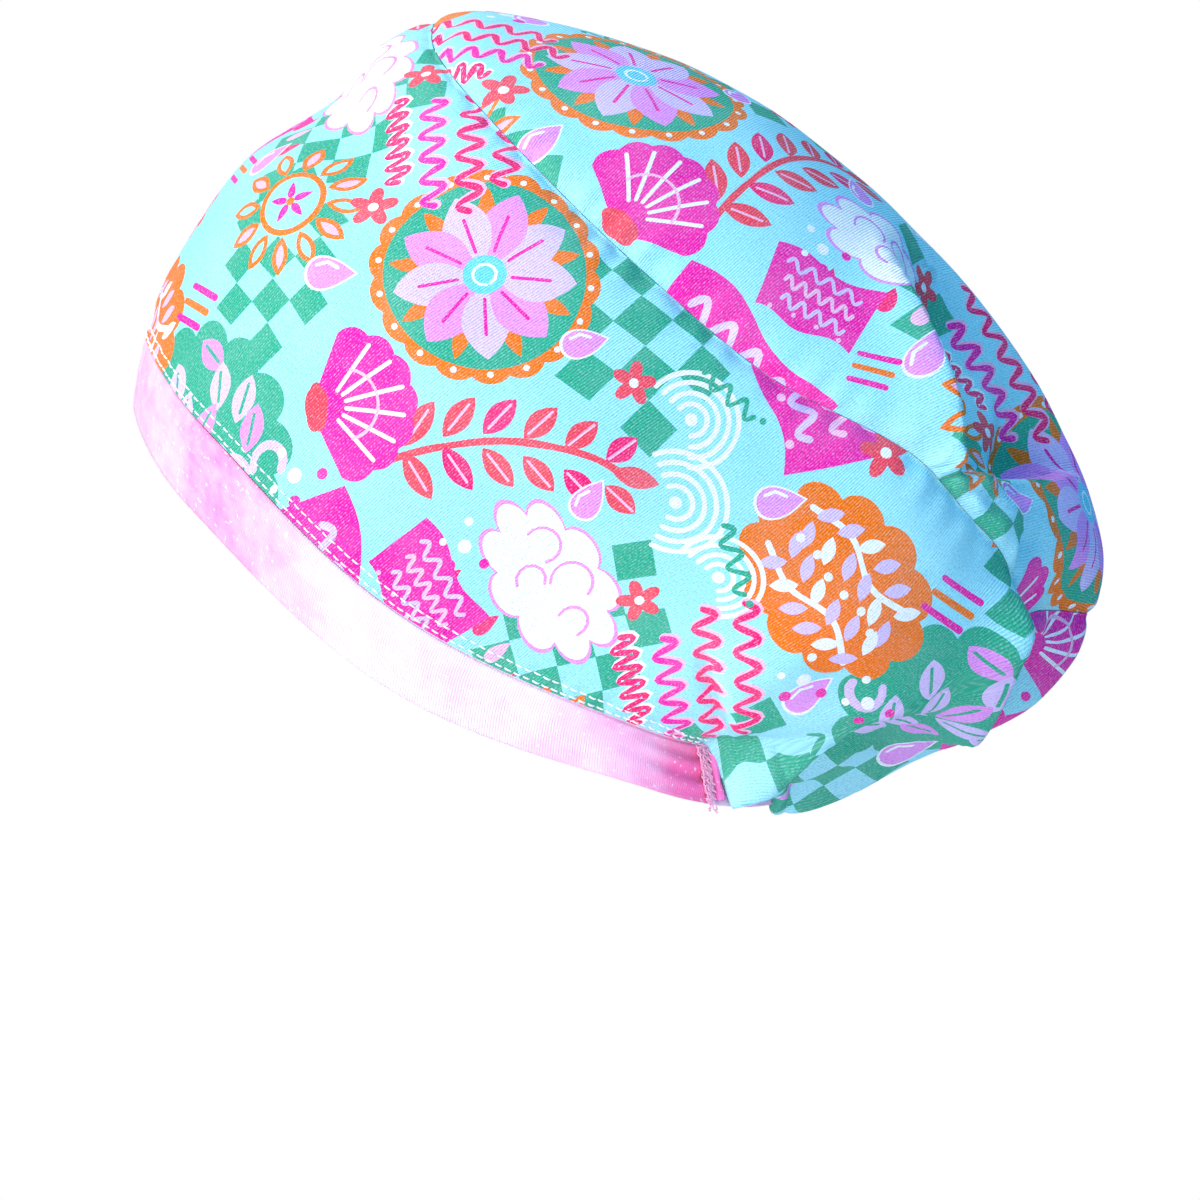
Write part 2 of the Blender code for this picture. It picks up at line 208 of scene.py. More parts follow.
# Folds: path in picture units, depth, reach and ridge in metres, the shares that fade in and out, the rest
CREASE = ((874, 226), (888, 262), (904, 306), (918, 346), (934, 388), (942, 432), (943, 482))
TURN = ((990, 500), (1000, 545), (1004, 590), (1002, 632), (993, 660), (981, 696), (968, 723), (947, 756))
ROLL = ((966, 704), (925, 706), (889, 708), (860, 714), (833, 729),
        (810, 746), (787, 768), (764, 788), (738, 795))
DRAPE_EDGE = ((700, 630), (710, 662), (718, 692), (725, 718), (729, 742))
CROWN_FOLDS = (
    (CREASE, 0.0160, 0.0100, 0.0028, 0.45, 0.06, dict(lean=0.0040, sharp=0.75, fall=4.5)),
    (CREASE, 0.0080, 0.0150, 0.0015, 0.35, 0.10, dict(side=1, fall=3.0)),
    (((972, 350), (984, 400), (986, 450), (976, 505)), 0.0036, 0.0075, 0.0022, 0.5, 0.15, {}),
    (((946, 462), (962, 492), (980, 516), (1004, 534)), 0.0020, 0.0050, 0.0012, 0.3, 0.3, {}),
    (((960, 440), (978, 474), (998, 502), (1024, 522)), 0.0018, 0.0060, 0.0010, 0.3, 0.3, {}),
    (((1000, 590), (1016, 570), (1030, 556), (1050, 548)), 0.0026, 0.0070, 0.0012, 0.2, 0.4, {}),
    (((590, 90), (640, 140), (700, 200), (740, 270)), 0.0010, 0.0160, 0.0006, 0.5, 0.5, {}),
)
PANEL_FOLDS = (
    (TURN, 0.0200, 0.0085, 0.0026, 0.10, 0.10, dict(lean=0.0056, sharp=0.65, fall=5.0)),
    (TURN, 0.0080, 0.0120, 0.0020, 0.10, 0.12, dict(side=1, fall=3.0)),
    (ROLL, 0.0100, 0.0095, 0.0024, 0.30, 0.0, dict(lean=0.0030, sharp=0.8, fall=3.5)),
    (ROLL, 0.0060, 0.0120, 0.0020, 0.30, 0.0, dict(side=1, fall=3.0)),
    (((1014, 600), (1030, 640), (1052, 652), (1068, 660)), 0.0034, 0.0085, 0.0014, 0.3, 0.3, {}),
    (DRAPE_EDGE, -0.0042, 0.0040, -0.0022, 0.5, 0.25, dict(lean=-0.0012, sharp=0.5, fall=6.0)),
    (((820, 640), (796, 680), (778, 716)), 0.0014, 0.0110, 0.0008, 0.4, 0.4, {}),
    (((300, 140), (330, 190), (350, 250)), 0.0014, 0.0140, 0.0008, 0.4, 0.5, {}),
)
# How far the panel hangs below its rim behind the tacks, by angle, and how far it stands out there
HANG = ((0, 0.0), (145, 0.0), (147.5, 0.0), (148.5, 0.0055), (151, 0.0130), (155, 0.0138),
        (160, 0.0085), (166, 0.0055), (173, 0.0050), (180, 0.0050))
HANG_OUT = 0.0046

# Fine grids of the printed cloth
ANGLES = np.linspace(-180.0, 180.0, 481)
HEIGHTS = np.linspace(0.0, 1.0, 121)
RADII = np.linspace(0.0, 1.0, 101)
SEAM_STEPS = so_far(seam(ANGLES))


def folded(grid, facing, folds):
    for *fold, more in folds:
        grid = press(grid, facing, *fold, **more)
    return grid


def shared_inward(angle):
    here = seam(angle)
    below = panel_form(angle, [0.97])[0]
    above = crown_form(angle, np.full_like(angle, 0.985))
    return -unit(np.cross(seam(angle + 1) - seam(angle - 1), unit(above - here) + unit(here - below)))


def smeared(values, reach):
    """Mean over neighbours along a closed line."""
    kernel = np.exp(-(np.arange(-3 * reach, 3 * reach + 1) / reach) ** 2)
    around = np.concatenate([values[-1 - 3 * reach:-1], values, values[1:1 + 3 * reach]])
    return np.convolve(around, kernel / kernel.sum(), "valid")


def seam_dip(grid, facing):
    """Rolls a grid's rim into the seam, and puckers it along the stitching."""
    off = apart(grid, grid[-1])
    meet = np.exp(-(off / 0.004) ** 2)[..., None]
    facing = unit(facing * (1 - meet) - shared_inward(ANGLES) * meet)
    beat = np.array([noise.noise(Vector((s * 42.0, 1.0, 0.3))) for s in SEAM_STEPS])[None, :]
    waves = np.sin(2 * math.pi * SEAM_STEPS[None, :] / 0.0105 + 5 * beat)
    pucker = 0.00080 * waves * (0.55 + 0.9 * np.abs(beat)) * np.exp(-(off / 0.0085) ** 2)
    roll = 0.0030 * np.exp(-off / 0.0025) + 0.0008 * np.exp(-(off / 0.009) ** 2)
    return grid - facing * ((roll + pucker * ramp(off, 0.0, 0.002)) * ramp(off, -0.001, 0.0005))[:, :, None]


def joined(crown, panel):
    """Brings the rims of crown and panel, each a grid and its facing, to one line and sinks the seam."""
    line = seam(ANGLES)
    shift = (crown[0][-1] + panel[0][-1] - 2 * line) * 0.62
    shift = np.stack([smeared(shift[:, k], 5) for k in range(3)], axis=-1)
    out = []
    for grid, facing in (crown, panel):
        hold = 1 - ramp(apart(grid, grid[-1]), 0.0, 0.024)
        out.append(seam_dip(grid + (line + shift - grid[-1]) * hold[..., None], facing))
    return out


def crown_grid():
    """The crown's folded places from its middle to its rim, their facings, and the places before folding."""
    dense = np.linspace(0, 1, 260)
    radius = 1 - (1 - dense[:, None]) ** 1.6 * np.ones((1, 481))
    form = crown_form(ANGLES[None, :] * np.ones((260, 1)), radius)
    run = so_far(form)
    out = np.empty((len(RADII), 481, 3))
    for c in range(481):
        for k in range(3):
            out[:, c, k] = np.interp(RADII * run[-1, c], run[:, c], form[:, c, k])
    facing = -outward(out)
    facing[0] = facing[1].mean(axis=0)
    facing = unit(facing)
    base = out.copy()
    out = folded(out, facing, CROWN_FOLDS)
    low = fuzz(out, 0.075, 3.1) * 0.0014 + fuzz(out, 0.030, 7.7, (1, 0.6, 1.4)) * 0.00045
    return out + facing * (low * ramp(apart(out, out[-1]), 0.0, 0.02))[..., None], facing, base


def back_seam(out, facing):
    """Rolls the panel's two ends into one seam at the middle of the back."""
    middle = (out[:, :1] + out[:, -1:]) / 2 * (1, 0, 1)
    behind = unit((facing[:, :1] + facing[:, -1:]) * (1, 0, 1))
    for end in (0, -1):
        column = out[:, end:end + 1 or None]
        off = apart(out, column)[..., None]
        out = out + (middle - column) * (1 - ramp(off, 0.0, 0.020))
        out = out - behind * (0.0016 * np.exp(-off / 0.0016) + 0.0006 * np.exp(-(off / 0.007) ** 2))
    return out


def panel_grid():
    """The side panel's folded places from band to seam, their facings, and the hung places before folding."""
    out = panel_form(ANGLES, HEIGHTS)
    facing = outward(out)
    turn = np.abs(ANGLES)
    up = unit(band_top(ANGLES) - ring("hem", ANGLES))
    hung, stands = table(HANG, ANGLES), HANG_OUT * ramp(turn, TACK, TACK + 4)
    for r, h in enumerate(HEIGHTS):
        out[r] += 0.0005 * (1 - h) * up
        out[r] += facing[0] * (stands * math.sin(math.pi * min(h / 0.5, 1)) ** 0.6)[:, None]
        out[r, :, 2] -= hung * math.sin(math.pi * min(h / 0.24, 1)) ** 0.8
    base = out.copy()
    beat = fuzz(np.column_stack([ANGLES / 20, 0 * ANGLES, 0 * ANGLES]), 1.0, 4.4) * (1 - ramp(turn, 168, 180))
    phase = math.pi * 11 * (180 - turn) / (180 - TACK) / 2
    gathers = np.cos(phase + 1.7 * beat) * ramp(turn, TACK - 10, TACK + 8)
    for r, h in enumerate(HEIGHTS):
        reach = math.sin(math.pi * min(max(h - 0.10, 0) / 0.36, 1))
        out[r] += facing[r] * (0.0024 * gathers * reach)[:, None]
    out = folded(out, facing, PANEL_FOLDS)
    low = fuzz(out, 0.080, 11.3) * 0.0016 + fuzz(out, 0.034, 5.9, (1.3, 1, 0.7)) * 0.00050
    edge = ramp(apart(out, out[-1]), 0, 0.02) * ramp(apart(out, out[0]), 0, 0.02)
    out = out + facing * (low * edge)[..., None]
    off = apart(out, out[0])
    waves = np.sin(2 * math.pi * so_far(out[0])[None, :] / 0.0078 + 3 * fuzz(out[0], 0.02, 2.2)[None, :])
    pucker = 0.00028 * waves * np.exp(-((off - 0.004) / 0.004) ** 2)
    out = out + facing * (pucker * ramp(off, 0, 0.002))[..., None]
    return back_seam(out, facing), facing, base


def padded(grid, disc=False):
    """Grid with a ghost row and column on every side, for smooth sampling."""
    first = 2 * grid[0] - grid[1]
    if disc:
        first = np.roll(grid[1, :-1], (grid.shape[1] - 1) // 2, axis=0)
        first = np.concatenate([first, first[:1]])
    g = np.concatenate([first[None], grid, (2 * grid[-1] - grid[-2])[None]])
    if disc:
        return np.concatenate([g[:, -2:-1], g, g[:, 1:2]], axis=1)
    return np.concatenate([2 * g[:, :1] - g[:, 1:2], g, 2 * g[:, -1:] - g[:, -2:-1]], axis=1)


def weights(t):
    """Catmull-Rom weights of four neighbours."""
    return (0.5 * (-t + 2 * t * t - t ** 3), 0.5 * (2 - 5 * t * t + 3 * t ** 3),
            0.5 * (t + 4 * t * t - 3 * t ** 3), 0.5 * (t ** 3 - t * t))


def sample(g, v, u):
    """Smooth value of a padded grid at row v and column u of the grid inside the padding."""
    rows, cols = g.shape[0] - 2, g.shape[1] - 2
    i = np.clip(np.floor(v).astype(int), 0, rows - 2)
    j = np.clip(np.floor(u).astype(int), 0, cols - 2)
    wv, wu = weights((v - i)[:, None]), weights((u - j)[:, None])
    return sum(wv[a] * sum(wu[b] * g[i + a, j + b] for b in range(4)) for a in range(4))


def cross(a, b):
    return a[:, 0] * b[:, 1] - a[:, 1] * b[:, 0]


def tree_of(places):
    tree = kdtree.KDTree(len(places))
    for k, p in enumerate(places):
        tree.insert((p[0], p[1], 0), k)
    tree.balance()
    return tree


class Cloth:
    """A printed panel. Own coordinates: (angle / 180, height) of a strip, or a place in the unit disc."""

    LONGEST, TALLEST = 0.56, 0.135

    def __init__(self, grid, base, disc):
        self.disc = disc
        self.grid = padded(grid, disc)
        self.size = grid.shape[:2]
        skip = 10 if disc else 8
        coarse = base[::skip, ::skip]
        self.flat = padded(self.flatten(coarse), disc)
        self.flat_size = coarse.shape[:2]
        if not disc:
            self.true = padded(self.lengths(grid))

    def lengths(self, grid):
        """True run and rise of a strip's cloth, the run only where the cloth hangs by the tacks."""
        rows, cols = self.size
        v, u = np.meshgrid(np.linspace(0, 1, rows), np.linspace(-1, 1, cols), indexing="ij")
        flat = self.spread(np.column_stack([u.ravel(), v.ravel()])).reshape(rows, cols, 2)
        extra = np.linalg.norm(np.diff(grid, axis=1), axis=2) - np.linalg.norm(np.diff(flat, axis=1), axis=2)
        turn = np.abs(ANGLES[1:])
        hangs = ramp(turn, 143, 148) * (1 - ramp(turn, 158, 166)) * (1 - ramp(HEIGHTS[:, None], 0.2, 0.4))
        extra = np.concatenate([np.zeros((rows, 1)), np.cumsum(extra * hangs, axis=1)], axis=1)
        extra -= extra[:, cols // 2:cols // 2 + 1]
        return np.stack([extra, so_far(grid)], axis=-1)

    def knit(self, own, flat):
        """Where the knit runs: the flat pattern's place, but not drawn out where the cloth hangs."""
        if self.disc:
            return flat
        true = sample(self.true, *self.index(own, self.size))
        return np.column_stack([flat[:, 0] + true[:, 0], true[:, 1]])

    def laid_out(self, points):
        """First guess of the flat pattern."""
        if self.disc:
            chord = unit(CROWN_ENDS[1] - CROWN_ENDS[0])
            return np.stack([(points[..., [0, 2]] - CROWN_ENDS[0]) @ chord, points[..., 1]], axis=-1) * 1.05
        rows = len(points)
        run, rise = so_far(points[rows // 2]), so_far(points)
        return np.stack([np.repeat((run - run[-1] / 2)[None], rows, 0), rise - rise[rows // 2]], axis=-1)

    def flatten(self, points):
        """Flat pattern: springs between neighbours relax until the cloth is laid out with little stretch."""
        rows, cols = points.shape[:2]
        index = np.arange(rows * cols).reshape(rows, cols)
        if self.disc:
            index[:, -1] = index[:, 0]
            index[0] = 0
        pairs = ((index[:, :-1], index[:, 1:]), (index[:-1], index[1:]),
                 (index[:-1, :-1], index[1:, 1:]), (index[:-1, 1:], index[1:, :-1]))
        a, b = (np.concatenate([pair[k].ravel() for pair in pairs]) for k in (0, 1))
        solid = points.reshape(-1, 3)
        want = np.linalg.norm(solid[a] - solid[b], axis=1)
        x = self.laid_out(points).reshape(-1, 2).copy()
        n = len(x)
        share = 1 / np.maximum(np.bincount(a, minlength=n) + np.bincount(b, minlength=n), 1) * 1.6
        for _ in range(1400):
            d = x[b] - x[a]
            far = np.maximum(np.hypot(d[:, 0], d[:, 1]), 1e-9)
            move = d * ((far - want) / far)[:, None]
            for k in (0, 1):
                x[:, k] += share * (np.bincount(a, move[:, k], n) - np.bincount(b, move[:, k], n)) * 0.5
        out = x.reshape(rows, cols, 2)
        if self.disc:
            out[:, -1] = out[:, 0]
            out[0] = out[0, 0]
        return out

    def index(self, own, size):
        if self.disc:
            r = np.hypot(own[:, 0], own[:, 1])
            a = np.degrees(np.arctan2(own[:, 1], own[:, 0]))
            return r * (size[0] - 1), (a + 180) / 360 * (size[1] - 1)
        return own[:, 1] * (size[0] - 1), (own[:, 0] + 1) / 2 * (size[1] - 1)

    def place(self, own):
        return sample(self.grid, *self.index(own, self.size))

    def spread(self, own):
        return sample(self.flat, *self.index(own, self.flat_size))

    def inside(self, own):
        if self.disc:
            r = np.maximum(np.hypot(own[:, 0], own[:, 1]), 1e-9)
            return own / np.maximum(r, 1.0)[:, None]
        return np.clip(own, (-1, 0), (1, 1))

    def facing(self, own):
        e = 0.003
        p = [self.place(self.inside(own + d)) for d in ((e, 0), (-e, 0), (0, e), (0, -e))]
        return unit(np.cross(p[0] - p[1], p[2] - p[3]))

    def find(self, flat):
        """Own coordinates of places on the flat pattern: the nearest seed, then Newton's steps."""
        guess = self.seeds()
        tree = tree_of(self.spread(guess))
        own = guess[[tree.find((p[0], p[1], 0))[1] for p in flat]]
        e = 0.004
        for _ in range(7):
            miss = flat - self.spread(own)
            du = (self.spread(own + (e, 0)) - self.spread(own - (e, 0))) / (2 * e)
            dv = (self.spread(own + (0, e)) - self.spread(own - (0, e))) / (2 * e)
            det = cross(du, dv)
            det = np.where(np.abs(det) < 1e-7, 1e-7, det)
            step = np.column_stack([cross(miss, dv), cross(du, miss)]) / det[:, None]
            own = self.inside(own + np.clip(step, -0.05, 0.05))
        return own

    def seeds(self):
        if self.disc:
            turns = np.radians(np.linspace(-180, 177, 120))
            r, a = np.meshgrid(np.linspace(0.02, 1, 40), turns, indexing="ij")
            return np.column_stack([(r * np.cos(a)).ravel(), (r * np.sin(a)).ravel()])
        u, v = np.meshgrid(np.linspace(-1, 1, 181), np.linspace(0, 1, 41), indexing="ij")
        return np.column_stack([u.ravel(), v.ravel()])

    def rim(self):
        if self.disc:
            return polar(np.radians(np.arange(480) * 0.75 - 180), 1)
        u, v = np.linspace(-1, 1, 481), np.linspace(0, 1, 81)[1:-1]
        sides = (u, 0 * u), (0 * v + 1, v), (u[::-1], 0 * u + 1), (0 * v - 1, v[::-1])
        return np.concatenate([np.column_stack(side) for side in sides])

    def filling(self, step):
        """Own coordinates about step metres apart over the panel, and closer where it hangs by the tacks."""
        if self.disc:
            out = [np.zeros((1, 2))]
            rings = int(self.TALLEST / step)
            for k in range(1, rings):
                turns = np.radians(np.arange(0, 360, 360 / max(8, int(k * 6.0))) + 7 * k)
                out.append(polar(turns, k / rings))
            return np.concatenate(out)
        u = np.linspace(-1, 1, int(self.LONGEST / step) + 1)[1:-1]
        v = np.linspace(0, 1, int(self.TALLEST / step) + 1)[1:-1]
        gu, gv = np.meshgrid(u, v)
        out = np.column_stack([gu.ravel(), gv.ravel()])
        half = np.array([u[1] - u[0], v[1] - v[0]]) / 2
        hanging = out[(np.abs(out[:, 0]) > 0.80) & (out[:, 1] < 0.30) & (out[:, 1] < 1 - half[1] * 3)]
        low, high = (-1 + half[0], half[1]), (1 - half[0], 1)
        extra = [np.clip(hanging + half * d, low, high) for d in ((1, 1), (0, 1), (1, 0))]
        return np.unique(np.round(np.concatenate([out, *extra]), 7), axis=0)


# The print: motifs in millimetres, each a run of shapes with their colours, lowest shape first
PALETTE = {
    "ground": (0.34, 0.78, 0.89), "green": (0.030, 0.41, 0.26), "magenta": (0.95, 0.015, 0.40),
    "hot": (0.98, 0.012, 0.18), "orange": (0.99, 0.19, 0.004), "lavender": (0.74, 0.54, 0.90),
    "lilac": (0.85, 0.30, 0.84), "coral": (0.94, 0.065, 0.11), "white": (0.93, 0.93, 0.95),
    # dark blue painted shadow, laid on the rim faces of the printed sheets where they meet in the seam
    "blush": (0.97, 0.50, 0.72), "aqua": (0.16, 0.66, 0.84), "shadow_blue": (0.03, 0.25, 0.60),
}


def turned(shape, angle, at=(0.0, 0.0), size=1.0):
    a = math.radians(angle)
    c, s = math.cos(a), math.sin(a)
    return size * np.asarray(shape, float) @ np.array([[c, s], [-s, c]]) + np.asarray(at, float)


def polar(t, rx, ry=None):
    """Points at angles t, with their reach along each axis."""
    return np.column_stack([rx * np.cos(t), (rx if ry is None else ry) * np.sin(t)])


def oval(rx, ry, steps=28):
    return polar(np.linspace(0, 2 * math.pi, steps, endpoint=False), rx, ry)


def bead(x, y, radius, steps=12):
    return turned(oval(radius, radius, steps), 0, (x, y))


def scallop(rx, ry, lobes, depth, sway=0.0):
    t = np.linspace(0, 2 * math.pi, lobes * 9, endpoint=False)
    r = 1 - depth + depth * np.abs(np.sin(lobes * t / 2)) ** 0.75 + sway * np.sin(2 * t + 1.0)
    return polar(t, rx * r, ry * r)


def drop(long, wide):
    t = np.linspace(0, 2 * math.pi, 22, endpoint=False)
    return np.column_stack([wide / 2 * np.sin(t) * np.sin(t / 2) ** 1.1, long / 2 * np.cos(t)])


def leaf(long, wide, steps=10):
    t = np.linspace(0, 1, steps)
    edge = wide / 2 * np.sin(math.pi * t) ** 0.8
    x = long * (t - 0.5)
    return np.concatenate([np.column_stack([x, edge]), np.column_stack([x[::-1], -edge[::-1]])[1:-1]])


def stroke(points, width, wobble=0.12):
    """Outline of a hand-drawn line with round ends."""
    p = np.asarray(points, float)
    along = np.gradient(p, axis=0)
    along /= np.maximum(np.linalg.norm(along, axis=1), 1e-9)[:, None]
    side = np.column_stack([-along[:, 1], along[:, 0]])
    k = np.arange(len(p))
    half = width / 2 * (1 + wobble * np.sin(k * 0.9) * np.cos(k * 0.37))
    left, right = p + side * half[:, None], p - side * half[:, None]

    def cap(end, quarter):
        start = math.atan2(along[end, 1], along[end, 0]) + quarter
        turns = [start + t for t in np.linspace(0, math.pi, 6)[1:-1]]
        return [(p[end, 0] + half[end] * math.cos(t), p[end, 1] + half[end] * math.sin(t)) for t in turns]
    return np.concatenate([right, cap(-1, -math.pi / 2), left[::-1], cap(0, math.pi / 2)])


def arc(radius, start, end):
    return polar(np.radians(np.linspace(start, end, max(6, int(abs(end - start) * radius / 90)))), radius)


def wave(length, height, waves):
    t = np.linspace(0, 1, int(waves * 12) + 1)
    return np.column_stack([length * (t - 0.5), height / 2 * np.sin(2 * math.pi * waves * t)])


def pebble_cloud():
    yield scallop(32, 27, 13, 0.13, 0.03), "green"
    for row, (y, count, span) in enumerate(((15, 4, 30), (3.5, 5, 42), (-8.5, 5, 40), (-18.5, 3, 22))):
        for k in range(count):
            at = span * ((k + 0.5) / count - 0.5) + 1.5 * math.sin(7 * k + row), y + 1.4 * math.cos(3 * k)
            tilt = 62 * math.sin(2.3 * k + 1.9 * row) + (90 if (k + row) % 2 else 0)
            yield turned(leaf(11.5, 6.4), tilt, at), "lavender" if (k + row) % 3 else "lilac"
            yield stroke(turned([(-3.6, 0), (3.2, 0.3)], tilt, at), 0.8), "green"
    yield stroke(turned(arc(4, 20, 250), 0, (22, 12)), 2.2), "lavender"
    yield stroke(turned(arc(4, 200, 430), 0, (-24, -9)), 2.2), "lavender"


def flag():
    t = np.linspace(0, 1, 18)
    top = np.column_stack([56 * (t - 0.5), 17 + 2.2 * np.sin(2 * math.pi * t * 1.2)])
    t = t[::-1]
    low = np.column_stack([52 * (t - 0.5), -17 + 2.0 * np.sin(2 * math.pi * t * 1.4 + 0.7)])
    yield np.concatenate([top, low]), "magenta"
    for k, y in enumerate((9.5, 0.5, -8.5)):
        line = turned(wave(40 - 3 * k, 5.6, 4 + k % 2), 0, (0.8 * k, y))
        yield stroke(line, 1.9), "blush" if k % 2 else "lavender"
    for k in range(4):
        yield bead(-19 + 12.5 * k, -14 + 0.9 * math.sin(k), 1.2), "blush"


def sprig_patch():
    yield scallop(28, 23, 11, 0.13, 0.04), "orange"
    for y, bend, flip in ((7.5, 3.0, 1), (-7.5, -3.0, -1)):
        stem = smooth([(-19, y), (-7, y + bend), (6, y - bend * 0.4), (19, y + bend)], 6)
        yield stroke(stem, 1.6), "white"
        for k in range(6):
            x = -16 + 6.4 * k
            for side in (1, -1):
                at = x + 1.6, y + side * 3.9 + 0.6 * bend * math.cos(0.17 * x)
                blade = turned(leaf(7.6, 3.6, 7), side * 58 * flip, at)
                yield blade, "lavender" if (k + side) % 3 else "white"
    for k in range(6):
        yield bead(-15 + 6 * k, 0.8 * math.sin(2 * k), 1.2, 10), "white"


def ripples():
    for x, y, spin, big in ((-19, 4, 15, 1.0), (2, -3, -10, 1.08), (23, 5, 20, 0.92)):
        for r in (4.2, 7.0, 9.8, 12.4):
            yield stroke(turned(arc(r, -25, 205), spin, (x, y), big), 1.35, 0.08), "white"
        yield bead(x, y, 1.7), "white"


def checks():
    for i in range(5):
        for j in range(5):
            if (i + j) % 2 == 0 and (i, j) not in ((0, 0), (4, 4)):
                corners = np.array([(0, 0), (11.8, 0.2), (11.7, 11.8), (-0.1, 11.7)])
                corners += (11.6 * (i - 2.5), 11.6 * (j - 2.5))
                corners[:, 1] += 1.5 * np.sin(corners[:, 0] / 12)
                yield corners, "green"


def medallion():
    yield scallop(31, 30, 18, 0.06), "orange"
    yield oval(27, 26, 44), "green"
    for k in range(9):
        yield turned(turned(leaf(13, 4.4), 90, (0, 18.5)), 40 * k + 20), "orange"
    for k in range(9):
        yield turned(turned(leaf(21, 12.5, 12), 90, (0, 13.5)), 40 * k), "lilac" if k % 2 else "lavender"
        yield turned(stroke([(0, 7), (0, 17)], 0.9), 40 * k), "magenta"
    yield oval(5.6, 5.6, 24), "aqua"
    yield stroke(arc(3.0, 0, 340), 0.8), "white"
    for k in range(18):
        a = k * math.pi / 9 + 0.17
        yield bead(28.4 * math.cos(a), 27.4 * math.sin(a), 0.9, 8), "white"


def scribbles():
    for k, (length, x) in enumerate(((44, -2), (50, 2), (38, 4), (30, -3))):
        line = turned(wave(length, 6.6, 5 + k % 2), -4 + 3 * k, (x, 17 - 11 * k))
        yield stroke(line, 3.0, 0.22), "white" if k == 3 else "blush"
        yield stroke(line + (0.3, -0.4), 1.9, 0.25), "hot" if k != 2 else "magenta"


def branch():
    yield stroke(smooth([(-34, -6), (-16, -1), (4, 2), (24, 0), (36, -5)], 7), 2.0), "coral"
    for k in range(6):
        x, y = -26 + 11 * k, -3.5 + 5 * math.sin((k + 0.6) * 0.6)
        for side in (1, -1):
            tilt, at = side * (56 - 3 * k), (x + 5.0, y + side * 7.0)
            yield turned(leaf(15 - 0.8 * k, 6.6), tilt, at), "coral" if (k + side) % 3 else "hot"
            yield stroke(turned([(-4.5, 0), (4.5, 0)], tilt, at), 0.7), "blush"
    yield turned(leaf(13, 6), -10, (38, -5)), "coral"


def puff():
    body = scallop(23, 14, 9, 0.2)
    yield body * 1.06, "lilac"
    yield body, "white"
    for x, y, r, a in ((-9, 3, 4.5, 0), (3, 4, 5.2, 40), (12, -1, 3.8, 10), (-3, -4, 3.6, 60)):
        yield stroke(turned(arc(r, -20, 200), a, (x, y)), 0.8), "lilac"
    for k in range(5):
        at = -15 + 7.6 * k, -20.5 - 2.4 * math.sin(2 * k)
        yield turned(drop(7.5, 5), 0, at), "blush" if k % 2 else "hot"


def fan():
    r = 19 * (1 - 0.07 + 0.07 * np.abs(np.sin(np.linspace(0, 7 * math.pi, 50))))
    yield np.concatenate([polar(np.radians(np.linspace(-5, 185, 50)), r), [(-4, -8), (4, -8)]]), "magenta"
    for k in range(1, 7):
        a = math.radians(180 * k / 7)
        c, s = math.cos(a), math.sin(a)
        yield stroke([(4 * c, -4 + 4 * s), (15.5 * c, 15.5 * s)], 1.0), "white"
    yield stroke(arc(8.5, 10, 170), 0.8), "blush"
    yield turned(scallop(6.2, 3.2, 5, 0.1), 0, (0, -8)), "coral"


def wheel():
    for k in range(12):
        yield turned(turned(leaf(12.5, 6.2, 9), 90, (0, 18.5)), 30 * k), "orange"
        yield turned(turned(leaf(8.0, 3.0, 7), 90, (0, 18.5)), 30 * k), "ground" if k % 2 else "blush"
    yield oval(11.8, 11.8, 32), "orange"
    yield oval(9.8, 9.8, 30), "ground"
    for k in range(5):
        yield turned(turned(drop(6.4, 3.6), 0, (0, 4.6)), 72 * k), "magenta"
    yield oval(1.5, 1.5, 10), "orange"


def gem():
    shape = drop(15, 12.5)
    yield shape * 1.13, "white"
    yield shape, "lilac"
    yield stroke([(-2.4, -4.6), (-3.3, -1.2), (-1.6, 2.0)], 1.0), "white"


def spark():
    t = np.linspace(0, 2 * math.pi, 40, endpoint=False)
    yield polar(t, 7.4 * (0.46 + 0.54 * np.abs(np.cos(2.5 * t)) ** 1.3)), "coral"
    yield oval(1.6, 1.6, 10), "white"


def squiggle():
    yield stroke(wave(24, 6, 3), 1.7, 0.2), "green"
    yield bead(15.5, 1, 1.3, 10), "green"


def dots():
    for k, (x, y, r) in enumerate(((0, 0, 2.0), (7, 3, 1.5), (-6, 4, 1.3), (3, -6, 1.7), (-4, -5, 1.1))):
        yield bead(x, y, r), "magenta" if k % 2 else "white"


def bars():
    for k in (-1, 0, 1):
        line = turned([(-6.5, 0), (6.5, 0.8)], 6, (0, 4.4 * k))
        yield stroke(line, 1.7, 0.2), "magenta" if k % 2 else "orange"


